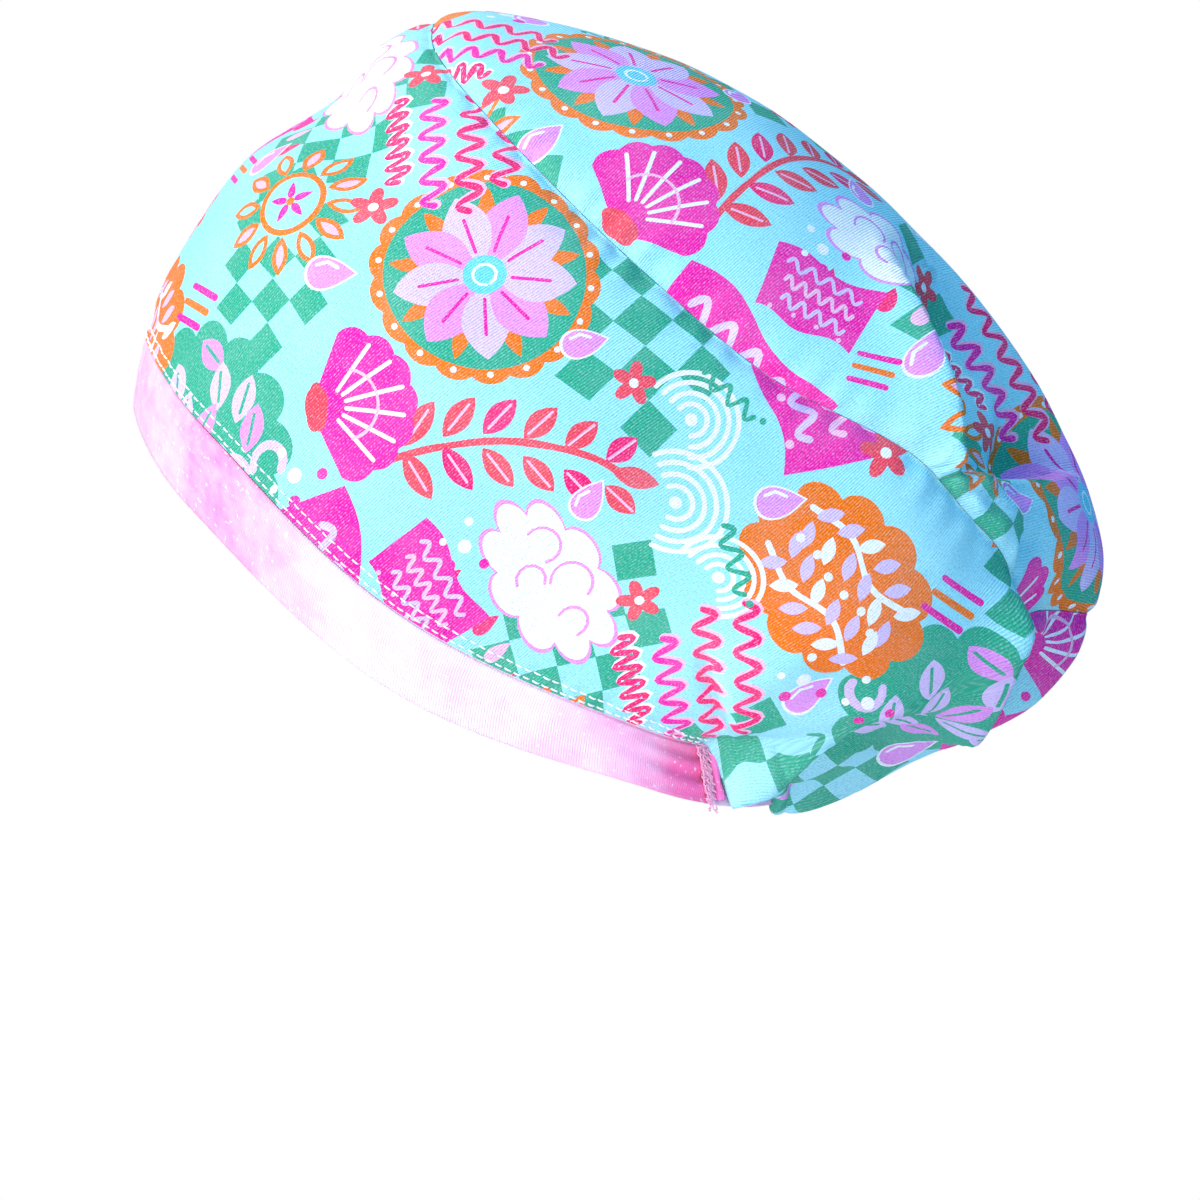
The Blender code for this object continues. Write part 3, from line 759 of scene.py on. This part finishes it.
# One repeat of the print: motif, place in mm, turn in degrees, size
TILE = (184.0, 168.0)
LAYOUT = (
    (checks, 66, 98, 22, 1.0), (checks, 146, 40, -14, 0.95), (checks, 4, 8, 10, 0.8),
    (pebble_cloud, 34, 130, 14, 1.2), (flag, 100, 142, -14, 1.12), (sprig_patch, 158, 116, 12, 1.12),
    (ripples, 117, 88, -18, 1.12), (medallion, 36, 62, 10, 1.08), (scribbles, 172, 66, -14, 1.0),
    (branch, 84, 44, 62, 1.05), (puff, 126, 42, 8, 1.15), (fan, 54, 10, -24, 1.15), (wheel, 174, 18, 0, 0.92),
    (flag, 112, 9, 6, 0.62), (gem, 68, 122, 12, 1.1), (gem, 130, 112, -20, 0.95), (gem, 4, 97, 16, 1.0),
    (gem, 146, 12, 20, 0.9), (gem, 18, 22, -28, 1.0), (gem, 108, 62, 30, 0.85), (gem, 66, 80, -12, 0.85),
    (spark, 132, 146, 10, 1.1), (spark, 142, 62, 30, 0.9), (spark, 82, 88, 0, 0.9), (spark, 2, 40, 10, 1.0),
    (squiggle, 140, 92, -10, 0.9), (squiggle, 30, 96, 18, 0.9), (squiggle, 96, 112, 24, 0.8),
    (dots, 182, 97, 0, 1.1), (dots, 64, 156, 40, 1.1), (dots, 106, 24, 0, 1.0), (bars, 180, 144, 20, 1.1),
    (bars, 138, 0, 12, 0.9), (dots, 12, 112, 20, 1.0),
)
SMALL_MOTIFS = gem, spark, squiggle, dots, bars
SPARK_CLEAR, MEDALLION_CLEAR = 0.060, 0.030
LONGEST_EDGE = 0.0022


def tiles(rim, turn, shift, drapes):
    """Motif outlines of the print over a flat pattern, lowest first, in metres.

    Small motifs have their middle on the cloth. Near a drape sparks are left out and medallions become checks.
    """
    low, high = rim.min(axis=0) - 0.02, rim.max(axis=0) + 0.02
    a = math.radians(turn)
    spin = np.array([[math.cos(a), math.sin(a)], [-math.sin(a), math.cos(a)]])
    corners = np.array([(x, y) for x in (low[0], high[0]) for y in (low[1], high[1])]) @ spin.T * 1000 - shift
    first = np.floor(corners.min(axis=0) / TILE).astype(int) - 1
    last = np.ceil(corners.max(axis=0) / TILE).astype(int) + 1
    out = []
    for motif, x, y, angle, size in LAYOUT:
        shapes = list(motif())
        for i in range(first[0], last[0]):
            for j in range(first[1], last[1]):
                centre = ((x, y) + np.array((i, j)) * TILE + shift) / 1000 @ spin
                to_drape = min((np.hypot(*(centre - d)) for d in drapes), default=1.0)
                if motif in SMALL_MOTIFS and not within(centre, rim) or motif is spark and to_drape < SPARK_CLEAR:
                    continue
                given_way = motif is medallion and to_drape < MEDALLION_CLEAR
                for shape, colour in checks() if given_way else shapes:
                    flat = turned(shape, angle, (x, y), size) + (i * TILE[0], j * TILE[1]) + shift
                    flat = flat / 1000 @ spin
                    if np.cross(flat, np.roll(flat, -1, 0)).sum() < 0:
                        flat = flat[::-1]
                    if (flat.max(axis=0) > low).all() and (flat.min(axis=0) < high).all():
                        out.append((divided(flat, LONGEST_EDGE), colour))
    return out


def within(place, outline):
    """Whether a place lies inside a closed outline."""
    x, y = (outline - place).T
    x1, y1 = np.roll(x, -1), np.roll(y, -1)
    crosses = (y > 0) != (y1 > 0)
    return bool(np.sum(crosses & (x - y * (x1 - x) / np.where(crosses, y1 - y, 1) > 0)) % 2)


def divided(outline, limit):
    """Closed outline with no edge longer than limit."""
    after = np.roll(outline, -1, 0)
    counts = np.ceil(np.linalg.norm(after - outline, axis=1) / limit).astype(int).clip(1)
    edges = zip(outline, after, counts)
    return np.concatenate([a + (b - a) * (np.arange(n) / n)[:, None] for a, b, n in edges])


def loop(tris):
    """Ordered rim of a set of triangles."""
    edges = {(t[k], t[(k + 1) % 3]): None for t in tris for k in range(3)}
    after = {a: b for a, b in edges if (b, a) not in edges}
    start = min(after)
    out = [start]
    while after[out[-1]] != start:
        out.append(after[out[-1]])
    return out


def cut(flat, outlines, tolerance):
    """Places, triangles within the first outline, each one's topmost outline, and each place's sources."""
    places = [Vector(p) for p in flat]
    verts, _, tris, sources, _, owners = delaunay_2d_cdt(places, [], outlines, 1, tolerance, True)
    kept = [(t, max(o)) for t, o in zip(tris, owners) if 0 in o and len(t) == 3]
    return np.array([v[:] for v in verts]), [t for t, _ in kept], [o for _, o in kept], sources


def new_piece(name, points, faces):
    """Smooth mesh object in the scene."""
    mesh = bpy.data.meshes.new(name)
    mesh.from_pydata([tuple(p) for p in points], [], faces)
    mesh.update()
    mesh.polygons.foreach_set("use_smooth", np.ones(len(mesh.polygons), bool))
    piece = bpy.data.objects.new(name, mesh)
    bpy.context.scene.collection.objects.link(piece)
    return piece


def lay_weave(mesh, places):
    """Gives each corner its place on the cloth, in metres."""
    uv = mesh.uv_layers.new(name="weave")
    corner = np.empty(len(mesh.loops), int)
    mesh.loops.foreach_get("vertex_index", corner)
    uv.data.foreach_set("uv", places[corner].astype(np.float32).ravel())


def printed(name, cloth, step, turn, shift, drapes=()):
    """Closed sheet, printed on its outer layer and plain on its inner one, with a painted seam shadow on its rim
    faces away from the hem; its flat size and flat area.
    """
    rim, fill = cloth.rim(), cloth.filling(step)
    rim_flat = cloth.spread(rim)
    shapes = tiles(rim_flat, turn, shift, drapes)
    outlines, at = [list(range(len(rim)))], len(rim) + len(fill)
    for shape, _ in shapes:
        outlines.append(list(range(at, at + len(shape))))
        at += len(shape)
    flat = np.concatenate([rim_flat, cloth.spread(fill)] + [s for s, _ in shapes])
    flat, tris, owners, _ = cut(flat, outlines, 1e-6)
    used = np.unique(tris)
    renumber = np.full(len(flat), -1)
    renumber[used] = np.arange(len(used))
    flat, tris = flat[used], renumber[np.array(tris)]
    own, edge = cloth.find(flat), loop(tris)

    fill = cloth.filling(0.0030)
    spots, tree = cloth.spread(fill), tree_of(flat[edge])
    clear = np.array([tree.find((p[0], p[1], 0))[2] for p in spots]) > 0.0012
    ends = np.concatenate([flat[edge], spots[clear]])
    inner_flat, back, _, sources = cut(ends, [list(range(len(edge)))], 1e-7)
    inner_own = np.concatenate([own[edge], fill[clear]])[[s[0] for s in sources]]

    n, facing, inner_facing = len(own), cloth.facing(own), cloth.facing(inner_own)
    points = np.concatenate([cloth.place(own), cloth.place(inner_own) - inner_facing * WALL])
    behind = {s: i + n for i, ss in enumerate(sources) for s in ss}
    faces = [tuple(t) for t in tris] + [(t[0] + n, t[2] + n, t[1] + n) for t in back]
    for k, corner in enumerate(edge):
        after = (k + 1) % len(edge)
        bridge = (behind[k], behind[after]) if behind[k] != behind[after] else (behind[k],)
        faces.append((edge[after], corner, *bridge))
    piece = new_piece(name, points, faces)

    mesh = piece.data
    values = np.ones((len(mesh.loops), 4), np.float32)
    values[:, :3] = PALETTE["white"]
    colours = np.array([PALETTE["ground" if k == 0 else shapes[k - 1][1]] for k in owners])
    values[:3 * len(tris), :3] = np.repeat(colours, 3, axis=0)
    at = 3 * (len(tris) + len(back))
    # Rim faces between the layers: pale pink at the hem, elsewhere a dark blue painted shadow for the seam groove
    for face in faces[len(tris) + len(back):]:
        hem = not cloth.disc and own[face[0], 1] < 1e-4
        values[at:at + len(face), :3] = PALETTE["blush" if hem else "shadow_blue"]
        at += len(face)
    # Corner colours: the print outside, plain white inside, and the painted seam shadow on the rim faces
    mesh.color_attributes.new("print_with_seam_shadow", "FLOAT_COLOR", "CORNER").data.foreach_set("color", values.ravel())
    lay_weave(mesh, np.concatenate([cloth.knit(own, flat), cloth.knit(inner_own, inner_flat)]))
    mesh.normals_split_custom_set_from_vertices([tuple(v) for v in np.concatenate([facing, -inner_facing])])
    spread = rim_flat.max(axis=0) - rim_flat.min(axis=0)
    x, y = rim_flat.T
    area = abs((x * np.roll(y, -1) - np.roll(x, -1) * y).sum()) / 2
    return piece, (float(spread[0]), float(spread[1])), float(area)


def sheet(name, outer, inner):
    """Closed sheet between two equal grids, and its flat size."""
    rows, cols = outer.shape[:2]
    n = rows * cols
    index = np.arange(n).reshape(rows, cols)
    quads = np.stack([index[:-1, :-1], index[:-1, 1:], index[1:, 1:], index[1:, :-1]], axis=-1)
    faces = []
    for a, b, c, d in quads.reshape(-1, 4).tolist():
        faces += [(a, b, c, d), (a + n, d + n, c + n, b + n)]
    rim = np.concatenate([index[0, :-1], index[:-1, -1], index[-1, :0:-1], index[:0:-1, 0]]).tolist()
    faces += [(b, a, a + n, b + n) for a, b in zip(rim, rim[1:] + rim[:1])]
    run, rise = so_far(outer, 1), so_far(outer)
    flat = np.stack([run - run[:, -1:] / 2, rise], axis=-1).reshape(-1, 2)
    piece = new_piece(name, np.concatenate([outer.reshape(-1, 3), inner.reshape(-1, 3)]), faces)
    lay_weave(piece.data, np.concatenate([flat, flat]))
    return piece, (float(run[rows // 2, -1]), float(rise[-1].mean()))


def tube(points, radius, sides):
    """Vertices and faces of a round thread along points, closed at its ends."""
    p = np.asarray(points, float)
    t = unit(np.gradient(p, axis=0))
    n = unit(np.cross(t, np.array([0.13, 0.27, 0.95])))
    b = np.cross(t, n)
    r = np.broadcast_to(np.asarray(radius, float), (len(p),))[:, None, None]
    a = np.linspace(0, 2 * math.pi, sides, endpoint=False)
    verts = p[:, None] + r * (np.cos(a)[None, :, None] * n[:, None] + np.sin(a)[None, :, None] * b[:, None])
    faces = []
    for i in range(len(p) - 1):
        for k in range(sides):
            m = (k + 1) % sides
            faces.append((i * sides + k, i * sides + m, (i + 1) * sides + m, (i + 1) * sides + k))
    faces.append(tuple(range(sides))[::-1])
    faces.append(tuple((len(p) - 1) * sides + k for k in range(sides)))
    return [tuple(v) for v in verts.reshape(-1, 3)], faces


def threads(name, runs):
    """One piece made of round threads, each given by its points, radius and number of sides."""
    verts, faces = [], []
    for run in runs:
        v, f = tube(*run)
        faces += [tuple(i + len(verts) for i in g) for g in f]
        verts += v
    return new_piece(name, verts, faces)


class Graph:
    """Small helper for the nodes of a material or a world."""

    def __init__(self, owner):
        owner.use_nodes = True
        self.owner, self.tree = owner, owner.node_tree

    def put(self, node, inputs):
        """Sets or links a node's sockets, given by name or number."""
        for key, value in dict(inputs).items():
            if isinstance(value, bpy.types.NodeSocket):
                self.tree.links.new(value, node.inputs[key])
            else:
                node.inputs[key].default_value = value

    def add(self, kind, inputs=(), **settings):
        node = self.tree.nodes.new("ShaderNode" + kind)
        for key, value in settings.items():
            setattr(node, key, value)
        self.put(node, inputs)
        return node

    def math(self, operation, *values):
        return self.add("Math", enumerate(values), operation=operation).outputs[0]

    def mix(self, share, a, b, blend="MIX"):
        return self.add("Mix", {0: share, 6: a, 7: b}, data_type="RGBA", blend_type=blend).outputs[2]

    def noise(self, where, scale, detail, rough=0.55):
        inputs = {"Vector": where, "Scale": scale, "Detail": detail, "Roughness": rough}
        return self.add("TexNoise", inputs).outputs[0]

    def ramp(self, value, stops):
        """Colour ramp over stops of a place and a colour or grey."""
        node = self.add("ValToRGB", {0: value})
        items = node.color_ramp.elements
        while len(items) < len(stops):
            items.new(0.5)
        for item, (at, tone) in zip(items, stops):
            item.position = at
            item.color = (*tone, 1) if isinstance(tone, tuple) else (tone, tone, tone, 1)
        return node.outputs[0]

    def patch(self, value, low, high, strength, colour, over):
        """Lays a colour over another where a value goes from low to high."""
        share = self.math("MULTIPLY", self.ramp(value, ((low, 0), (high, 1))), strength)
        return self.mix(share, over, colour)

    def weave(self):
        """UV in metres, a height made of fine diagonal ribs crossed by yarns, and what it is made of."""
        uv = self.add("UVMap", uv_map="weave").outputs[0]
        u, v, _ = self.add("SeparateXYZ", {0: uv}).outputs
        wobble = self.math("MULTIPLY", self.noise(uv, 240.0, 2.0), 2.4)
        slant = self.math("MULTIPLY_ADD", v, -1400.0, self.math("MULTIPLY", u, 7900.0))
        wales = self.math("SINE", self.math("ADD", slant, wobble))
        yarns = self.math("ADD", self.math("MULTIPLY", v, 8600.0), self.math("MULTIPLY", u, 3100.0))
        fibre = self.add("Mapping", {0: uv, "Scale": (2100.0, 1150.0, 1.0)}).outputs[0]
        stitch = self.noise(fibre, 1.0, 1.0, 0.5)
        height = self.math("MULTIPLY", self.math("SINE", yarns), 0.12)
        height = self.math("ADD", self.math("MULTIPLY", wales, 0.50), height)
        return uv, self.math("ADD", height, self.math("MULTIPLY_ADD", stitch, 1.3, -0.65)), stitch, wales

    def finish(self, colour, height, distance, rough=0.88, sheen=0.05):
        bump = self.add("Bump", {"Strength": 0.5, "Distance": distance, "Height": height}).outputs[0]
        self.put(self.tree.nodes["Principled BSDF"], {
            "Normal": bump, "Base Color": colour, "Roughness": rough, "Sheen Weight": sheen,
            "Sheen Roughness": 0.6, "Specular IOR Level": 0.12})
        return self.owner


def print_finish(name):
    """Printed cotton: the print with faint pale clouds, a painted highlight on the rib crests and painted shade
    in the hollows between.
    """
    g = Graph(bpy.data.materials.new(name))
    uv, height, stitch, wales = g.weave()
    print_with_seam_shadow = g.add("VertexColor", layer_name="print_with_seam_shadow").outputs[0]
    colour = g.patch(g.noise(uv, 42.0, 4.0, 0.6), 0.42, 0.72, 0.07, (0.95, 0.97, 1.0, 1), print_with_seam_shadow)
    # Painted knit light: paler where the knit stands highest, darker in its hollows
    knit_light = g.math("MULTIPLY_ADD", wales, 0.12, stitch)
    colour = g.patch(knit_light, 0.56, 0.80, 0.30, (0.78, 0.95, 0.97, 1), colour)
    knit_shade = g.ramp(knit_light, ((0.22, (0.72, 0.76, 0.82)), (0.46, 1)))
    return g.finish(g.mix(1.0, colour, knit_shade, "MULTIPLY"), height, 0.0005)


def band_finish(name, strong, pale, half, tones):
    """Mottled pink cloth from a strong to a pale pink, with painted shade in the knit's hollows; tones give its
    paleness from middle to ends.
    """
    g = Graph(bpy.data.materials.new(name))
    uv, height, _, _ = g.weave()
    wide, fine = g.noise(uv, 26.0, 5.0, 0.60), g.noise(uv, 210.0, 4.0, 0.65)
    mottle = g.math("ADD", g.math("MULTIPLY", wide, 0.80), g.math("MULTIPLY", fine, 0.20))
    along = g.add("SeparateXYZ", {0: uv}).outputs[0]
    reach = g.math("MULTIPLY", g.math("ABSOLUTE", along), 1 / half)
    mottle = g.math("ADD", mottle, g.math("MULTIPLY_ADD", g.ramp(reach, tones), 0.60, -0.30))
    middle = tuple(0.35 * a + 0.65 * b for a, b in zip(strong, pale))
    colour = g.ramp(mottle, ((0.18, strong), (0.40, middle), (0.56, pale), (0.80, (0.98, 0.90, 0.95))))
    colour = g.patch(g.noise(uv, 520.0, 2.0, 0.7), 0.61, 0.70, 0.7, (1, 0.96, 0.98, 1), colour)
    # painted shade: darker where the knit's height is low
    shade = g.ramp(height, ((0.0, (0.92, 0.88, 0.91)), (0.5, 1)))
    return g.finish(g.mix(0.4, colour, shade, "MULTIPLY"), g.math("MULTIPLY", height, 0.45), 0.0004)


def thread_finish(name, colour):
    g = Graph(bpy.data.materials.new(name))
    place = g.add("TexCoord").outputs["Object"]
    tone = g.math("MULTIPLY", g.noise(place, 700.0, 2.0), 0.20)
    shade = g.mix(tone, (*colour, 1), (0.95, 0.93, 0.95, 1))
    return g.finish(shade, g.noise(place, 2600.0, 2.0), 0.0003, 0.7, 0.2)


# Crown and side panel
crown_out, crown_facing, crown_base = crown_grid()
panel_out, panel_facing, panel_base = panel_grid()
crown_out, panel_out = joined((crown_out, crown_facing), (panel_out, panel_facing))
panel_out[-1] += GAP * unit(panel_out[-3] - panel_out[-1])
crown_cloth = Cloth(crown_out, crown_base, True)
panel_cloth = Cloth(panel_out, panel_base, False)
STEP = 0.0017
DRAPES = panel_cloth.spread(np.array([(0.84, 0.07), (-0.84, 0.07)]))
crown, crown_flat, crown_area = printed("crown_print", crown_cloth, STEP, 8.0, (20.0, 60.0))
panel, panel_flat, panel_area = printed("panel_print", panel_cloth, STEP, -24.0, (70.0, 5.0), DRAPES)
crown.data.materials.append(print_finish("crown print"))
panel.data.materials.append(print_finish("panel print"))

# Front band and back casing
SHARES = np.linspace(0, 1, 17)
BAND_TONES = ((0.0, 0.50), (0.14, 0.42), (0.30, 0.22), (0.42, 0.36),
              (0.58, 0.78), (0.74, 0.68), (0.88, 0.34), (1.0, 0.08))


def band_grid(angles):
    """Grid from the hem to the top of the band, and its facing."""
    low, top = ring("hem", angles), band_top(angles)
    grid = low + SHARES[:, None, None] * (top - low)
    return grid, outward(grid)


def front_band():
    """The band from tack to tack: bellied, rippled, and creased near the tacks."""
    angles = np.linspace(-TACK, TACK, 361)
    grid, facing = band_grid(angles)
    belly = np.sin(math.pi * SHARES)[:, None, None] ** 0.7
    near_tack = ramp(np.abs(angles), TACK - 26, TACK)[None, :]
    creases = np.cos(2 * math.pi * (2.6 * SHARES[:, None] + 0.35 * near_tack)) * near_tack ** 1.5 * 0.0011
    ripple = fuzz(grid, 0.020, 6.3)[..., None] * 0.0005 + fuzz(grid, 0.007, 1.9)[..., None] * 0.00018
    ripple = ripple + creases[..., None]
    outer = grid + facing * (0.0006 * belly + ripple * belly)
    inner = grid - facing * (BAND_WALL - 0.0004 + 0.0002 * belly)
    piece, flat = sheet("band_cloth", outer, inner)
    strong, pale = (1.0, 0.17, 0.46), (0.99, 0.66, 0.87)
    piece.data.materials.append(band_finish("band cloth", strong, pale, flat[0] / 2, BAND_TONES))
    return piece, flat


def back_casing():
    """The gathered elastic casing round the nape."""
    angles = np.linspace(TACK + 0.4, 360 - TACK - 0.4, 241)
    span = (angles - angles[0]) / (angles[-1] - angles[0])
    grid, facing = band_grid(angles - 360 * (angles > 180))
    gather = np.abs(np.sin(math.pi * 17 * span + 1.1 * np.sin(9 * span)))[None, :] ** 0.8
    height = np.sin(math.pi * SHARES)[:, None] ** 0.6
    outer = grid - facing * (0.0009 - 0.0009 * gather * height)[..., None]
    inner = grid - facing * (0.0022 + 0.0004 * (1 - gather) * height)[..., None]
    piece, flat = sheet("casing_cloth", outer, inner)
    strong, pale, tones = (0.92, 0.28, 0.66), (0.93, 0.60, 0.90), ((0.0, 0.5), (1.0, 0.6))
    piece.data.materials.append(band_finish("casing cloth", strong, pale, flat[0] / 2, tones))
    return piece, flat


band, band_flat = front_band()
casing, casing_flat = back_casing()
THREAD_SIDES = 6


def topstitching():
    """Two rows of stitches on the print, just above the band."""
    panel_rise, pitch, radius = 0.115, 0.0029, 0.00026
    high = np.array([-0.0003, 0.00014, 0.00026, 0.00026, 0.00014, -0.0003])
    runs = []
    for lift in (0.0012, 0.0040):
        own = np.column_stack([np.linspace(-TACK + 0.5, TACK - 0.5, 4000) / 180, np.zeros(4000)])
        base = panel_cloth.place(own)
        for _ in range(12):
            off = np.linalg.norm(panel_cloth.place(own) - base, axis=1)
            own[:, 1] = np.clip(own[:, 1] + 0.5 * (lift - off) / panel_rise, 0, 0.2)
        here, facing = panel_cloth.place(own), panel_cloth.facing(own)
        run = so_far(here)
        count = int(run[-1] / pitch)
        for k in range(count):
            marks = (k + np.array([0.10, 0.20, 0.40, 0.60, 0.72, 0.80])) * run[-1] / count
            at, up = (np.array([[np.interp(m, run, v[:, c]) for c in range(3)] for m in marks])
                      for v in (here, facing))
            runs.append((at + up * high[:, None], radius, THREAD_SIDES))
    piece = threads("topstitching", runs)
    piece.data.materials.append(thread_finish("white thread", (0.93, 0.93, 0.96)))
    return piece


stitches = topstitching()

# Tacks: overlock thread closes the band on to the casing, and the casing's end turns into a small roll
CHAIN_RADIUS, RUNG_RADIUS, TAIL_RADIUS, ROLL_RADIUS = 0.00024, 0.00018, 0.00019, 0.0013
CHAIN_STITCHES, RUNGS, TAILS, ROLL_SIDES = 15, 18, 4, 20
PINK = thread_finish("pink thread", (1.0, 0.38, 0.62))
ROSE = band_finish("rolled end", (0.95, 0.05, 0.38), (0.98, 0.34, 0.70), 0.02, [(0.0, 0.3), (1.0, 0.6)])


def tack(side, node):
    """Serging thread and rolled end of one tack."""
    foot, head = ring("hem", np.array([TACK * side]))[0], band_top(np.array([TACK * side]))[0]
    ahead = unit(ring("hem", np.array([(TACK + 1) * side]))[0] - foot)
    up = unit(head - foot)
    out = unit(np.cross(ahead, up)) * side
    long = np.linalg.norm(head - foot)

    def at(x, z, lift):
        return foot + np.outer(x, ahead) + np.outer(z, up) + np.outer(lift, out)
    runs = []
    for k in range(3):
        beat = np.linspace(0, 2 * math.pi * CHAIN_STITCHES, CHAIN_STITCHES * 14)
        z = 0.0002 + beat / beat[-1] * (long - 0.0004)
        lane = 0.00155 * (k - 1) * (0.8 + 0.35 * ramp(z, 0.4 * long, long)) + 0.0003 * np.sin(z * 700 + 2 * k)
        x = lane + 0.00078 * np.sin(beat) * (1 + 0.25 * np.sin(z * 1900 + k))
        lift = 0.0014 + 0.00030 * np.cos(beat / 2 + k)
        runs.append((at(x, z + 0.00060 * np.cos(beat + 0.4 * k), lift), CHAIN_RADIUS, THREAD_SIDES))
    for k in range(RUNGS):
        z = (k + 0.5) / RUNGS * long
        x = np.linspace(-1, 1, 9)
        wide = 0.0019 + 0.0006 * ramp(z, 0.5 * long, long)
        rung = at(wide * x + 0.0002 * math.sin(5.1 * k), z + 0.0007 * x * (1 if k % 2 else -1),
                  0.0013 + 0.0004 * np.cos(1.5 * x))
        runs.append((rung, RUNG_RADIUS, THREAD_SIDES))
    for k in range(TAILS):
        s = np.linspace(0, 1, 14)
        curl = 0.0009 * np.sin(4.6 * s + 1.9 * k)
        sink = 0.0034 * np.sin(1.9 * s) * (0.75 + 0.12 * (k % 3))
        lift = 0.0013 + 0.0006 * s * math.cos(3 * k)
        tail = at(0.00105 * (k - 1.5) + curl * s ** 0.5, 0.0006 - sink, lift)
        runs.append((tail, TAIL_RADIUS, THREAD_SIDES))
    serging = threads(node + "_thread", runs)
    serging.data.materials.append(PINK)

    z = np.linspace(0.0012, long - 0.0002, 60)
    path = at(0.0034 + 0.0006 * np.sin(z * 420) + 0.0010 * z / long, z, 0.0013 + 0.0002 * np.sin(z * 700 + 1))
    roll = threads(node + "_roll", [(path, ROLL_RADIUS + 0.00022 * np.sin(z * 520 + 0.6), ROLL_SIDES)])
    vertex = np.arange(len(roll.data.vertices))
    lay_weave(roll.data, np.column_stack([vertex % ROLL_SIDES * 0.0004, vertex // ROLL_SIDES * (long / 60)]))
    roll.data.materials.append(ROSE)
    return serging, roll


(serging_left, roll_left), (serging_right, roll_right) = tack(1, "tack_left"), tack(-1, "tack_right")
rolls = [roll_left, roll_right]

for piece, node, slot in (
        (crown, "crown", "crown_print"), (panel, "side_panel", "side_print"),
        (band, "front_band", "band_cloth"), (casing, "back_casing", "casing_cloth"),
        (serging_left, "tack_left", "tack_thread"), (serging_right, "tack_right", "tack_thread")):
    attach(piece, "root")
    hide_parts(node)
for roll in rolls:
    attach(roll, "root")
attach(stitches, "root")

# Room, light and camera
FLOOR_CENTRE, FLOOR_RADIUS = (0.04, 0.0, -0.22), 0.42
TARGET = (0.042, 0.0, 0.0012)


def floor_finish():
    """White floor that fades into the white room toward its rim, and is clear when seen from below."""
    g = Graph(bpy.data.materials.new("floor white"))
    matte = g.tree.nodes["Principled BSDF"]
    g.put(matte, {"Base Color": (0.95, 0.95, 0.95, 1), "Roughness": 0.9})
    place = g.add("TexCoord").outputs["Object"]
    off = g.add("VectorMath", {0: place, 1: FLOOR_CENTRE}, operation="DISTANCE").outputs["Value"]
    limits = {"Value": off, "From Min": 0.10, "From Max": 0.38}
    fade = g.add("MapRange", limits, interpolation_type="SMOOTHSTEP").outputs[0]
    white = g.math("MULTIPLY", fade, g.add("LightPath").outputs["Is Camera Ray"])
    glow = g.add("Emission", {0: (1, 1, 1, 1)}).outputs[0]
    above = g.add("MixShader", {0: white, 1: matte.outputs[0], 2: glow}).outputs[0]
    below, clear = g.add("NewGeometry").outputs["Backfacing"], g.add("BsdfTransparent").outputs[0]
    either = g.add("MixShader", {0: below, 1: above, 2: clear}).outputs[0]
    g.put(g.tree.nodes["Material Output"], {0: either})
    return g.owner


turn = np.radians(np.arange(0, 360, 6))
mesh = bpy.data.meshes.new("floor")
disc = [(FLOOR_CENTRE[0] + FLOOR_RADIUS * math.cos(a), FLOOR_RADIUS * math.sin(a), FLOOR_CENTRE[2])
        for a in turn]
mesh.from_pydata(disc, [], [tuple(range(60))])
floor = bpy.data.objects.new("floor", mesh)
bpy.context.scene.collection.objects.link(floor)
mesh.materials.append(floor_finish())


def lamp(name, place, power, colour=(1, 1, 1), size=0.9, target=TARGET, kind="AREA"):
    light = bpy.data.lights.new(name, kind)
    if kind == "AREA":
        light.size = size
    light.energy, light.color = power, colour
    holder = bpy.data.objects.new(name, light)
    holder.location = place
    holder.rotation_euler = (Vector(target) - Vector(place)).to_track_quat("-Z", "Y").to_euler()
    bpy.context.scene.collection.objects.link(holder)
    return light


lamp("key", (-1.30, -0.95, 0.85), 28.0, (1.0, 0.99, 0.97), 0.45)
lamp("side", (-0.90, -1.72, 0.27), 18.8, size=0.8)
lamp("sky", (1.35, -0.7, 0.95), 12.0, (0.06, 0.48, 1.0))
lamp("top", (0.0, 0.3, 1.4), 8.0)
lamp("low", (0.30, -1.60, -1.10), 16.5, (1.0, 0.93, 0.95))
lamp("far", (-0.30, 1.90, 0.10), 8.0)
warm = lamp("warm", (0.0, -0.60, -0.19), 6.5, (1.0, 0.82, 0.84), target=(0.068, -0.082, -0.045), kind="SPOT")
warm.spot_size, warm.spot_blend, warm.shadow_soft_size = 0.22, 1.0, 0.04

room = Graph(bpy.data.worlds.new("room"))
ambient = room.tree.nodes["Background"]
room.put(ambient, {0: (0.27, 0.67, 1.0, 1), 1: 0.33})
paper = room.add("Background", {0: (1, 1, 1, 1)}).outputs[0]
seen = room.add("LightPath").outputs["Is Camera Ray"]
either = room.add("MixShader", {0: seen, 1: ambient.outputs[0], 2: paper}).outputs[0]
room.put(room.tree.nodes["World Output"], {0: either})
bpy.context.scene.world = room.owner

lens = bpy.data.cameras.new("camera")
lens.lens = 258.6
lens.sensor_width = 36
lens.clip_start = 0.05
lens.clip_end = 20
eye = bpy.data.objects.new("camera", lens)
eye.location = (TARGET[0], -2.5, TARGET[2])
eye.rotation_euler = (math.pi / 2, 0, 0)
bpy.context.scene.collection.objects.link(eye)
bpy.context.scene.camera = eye
bpy.context.scene.view_settings.view_transform = "Standard"
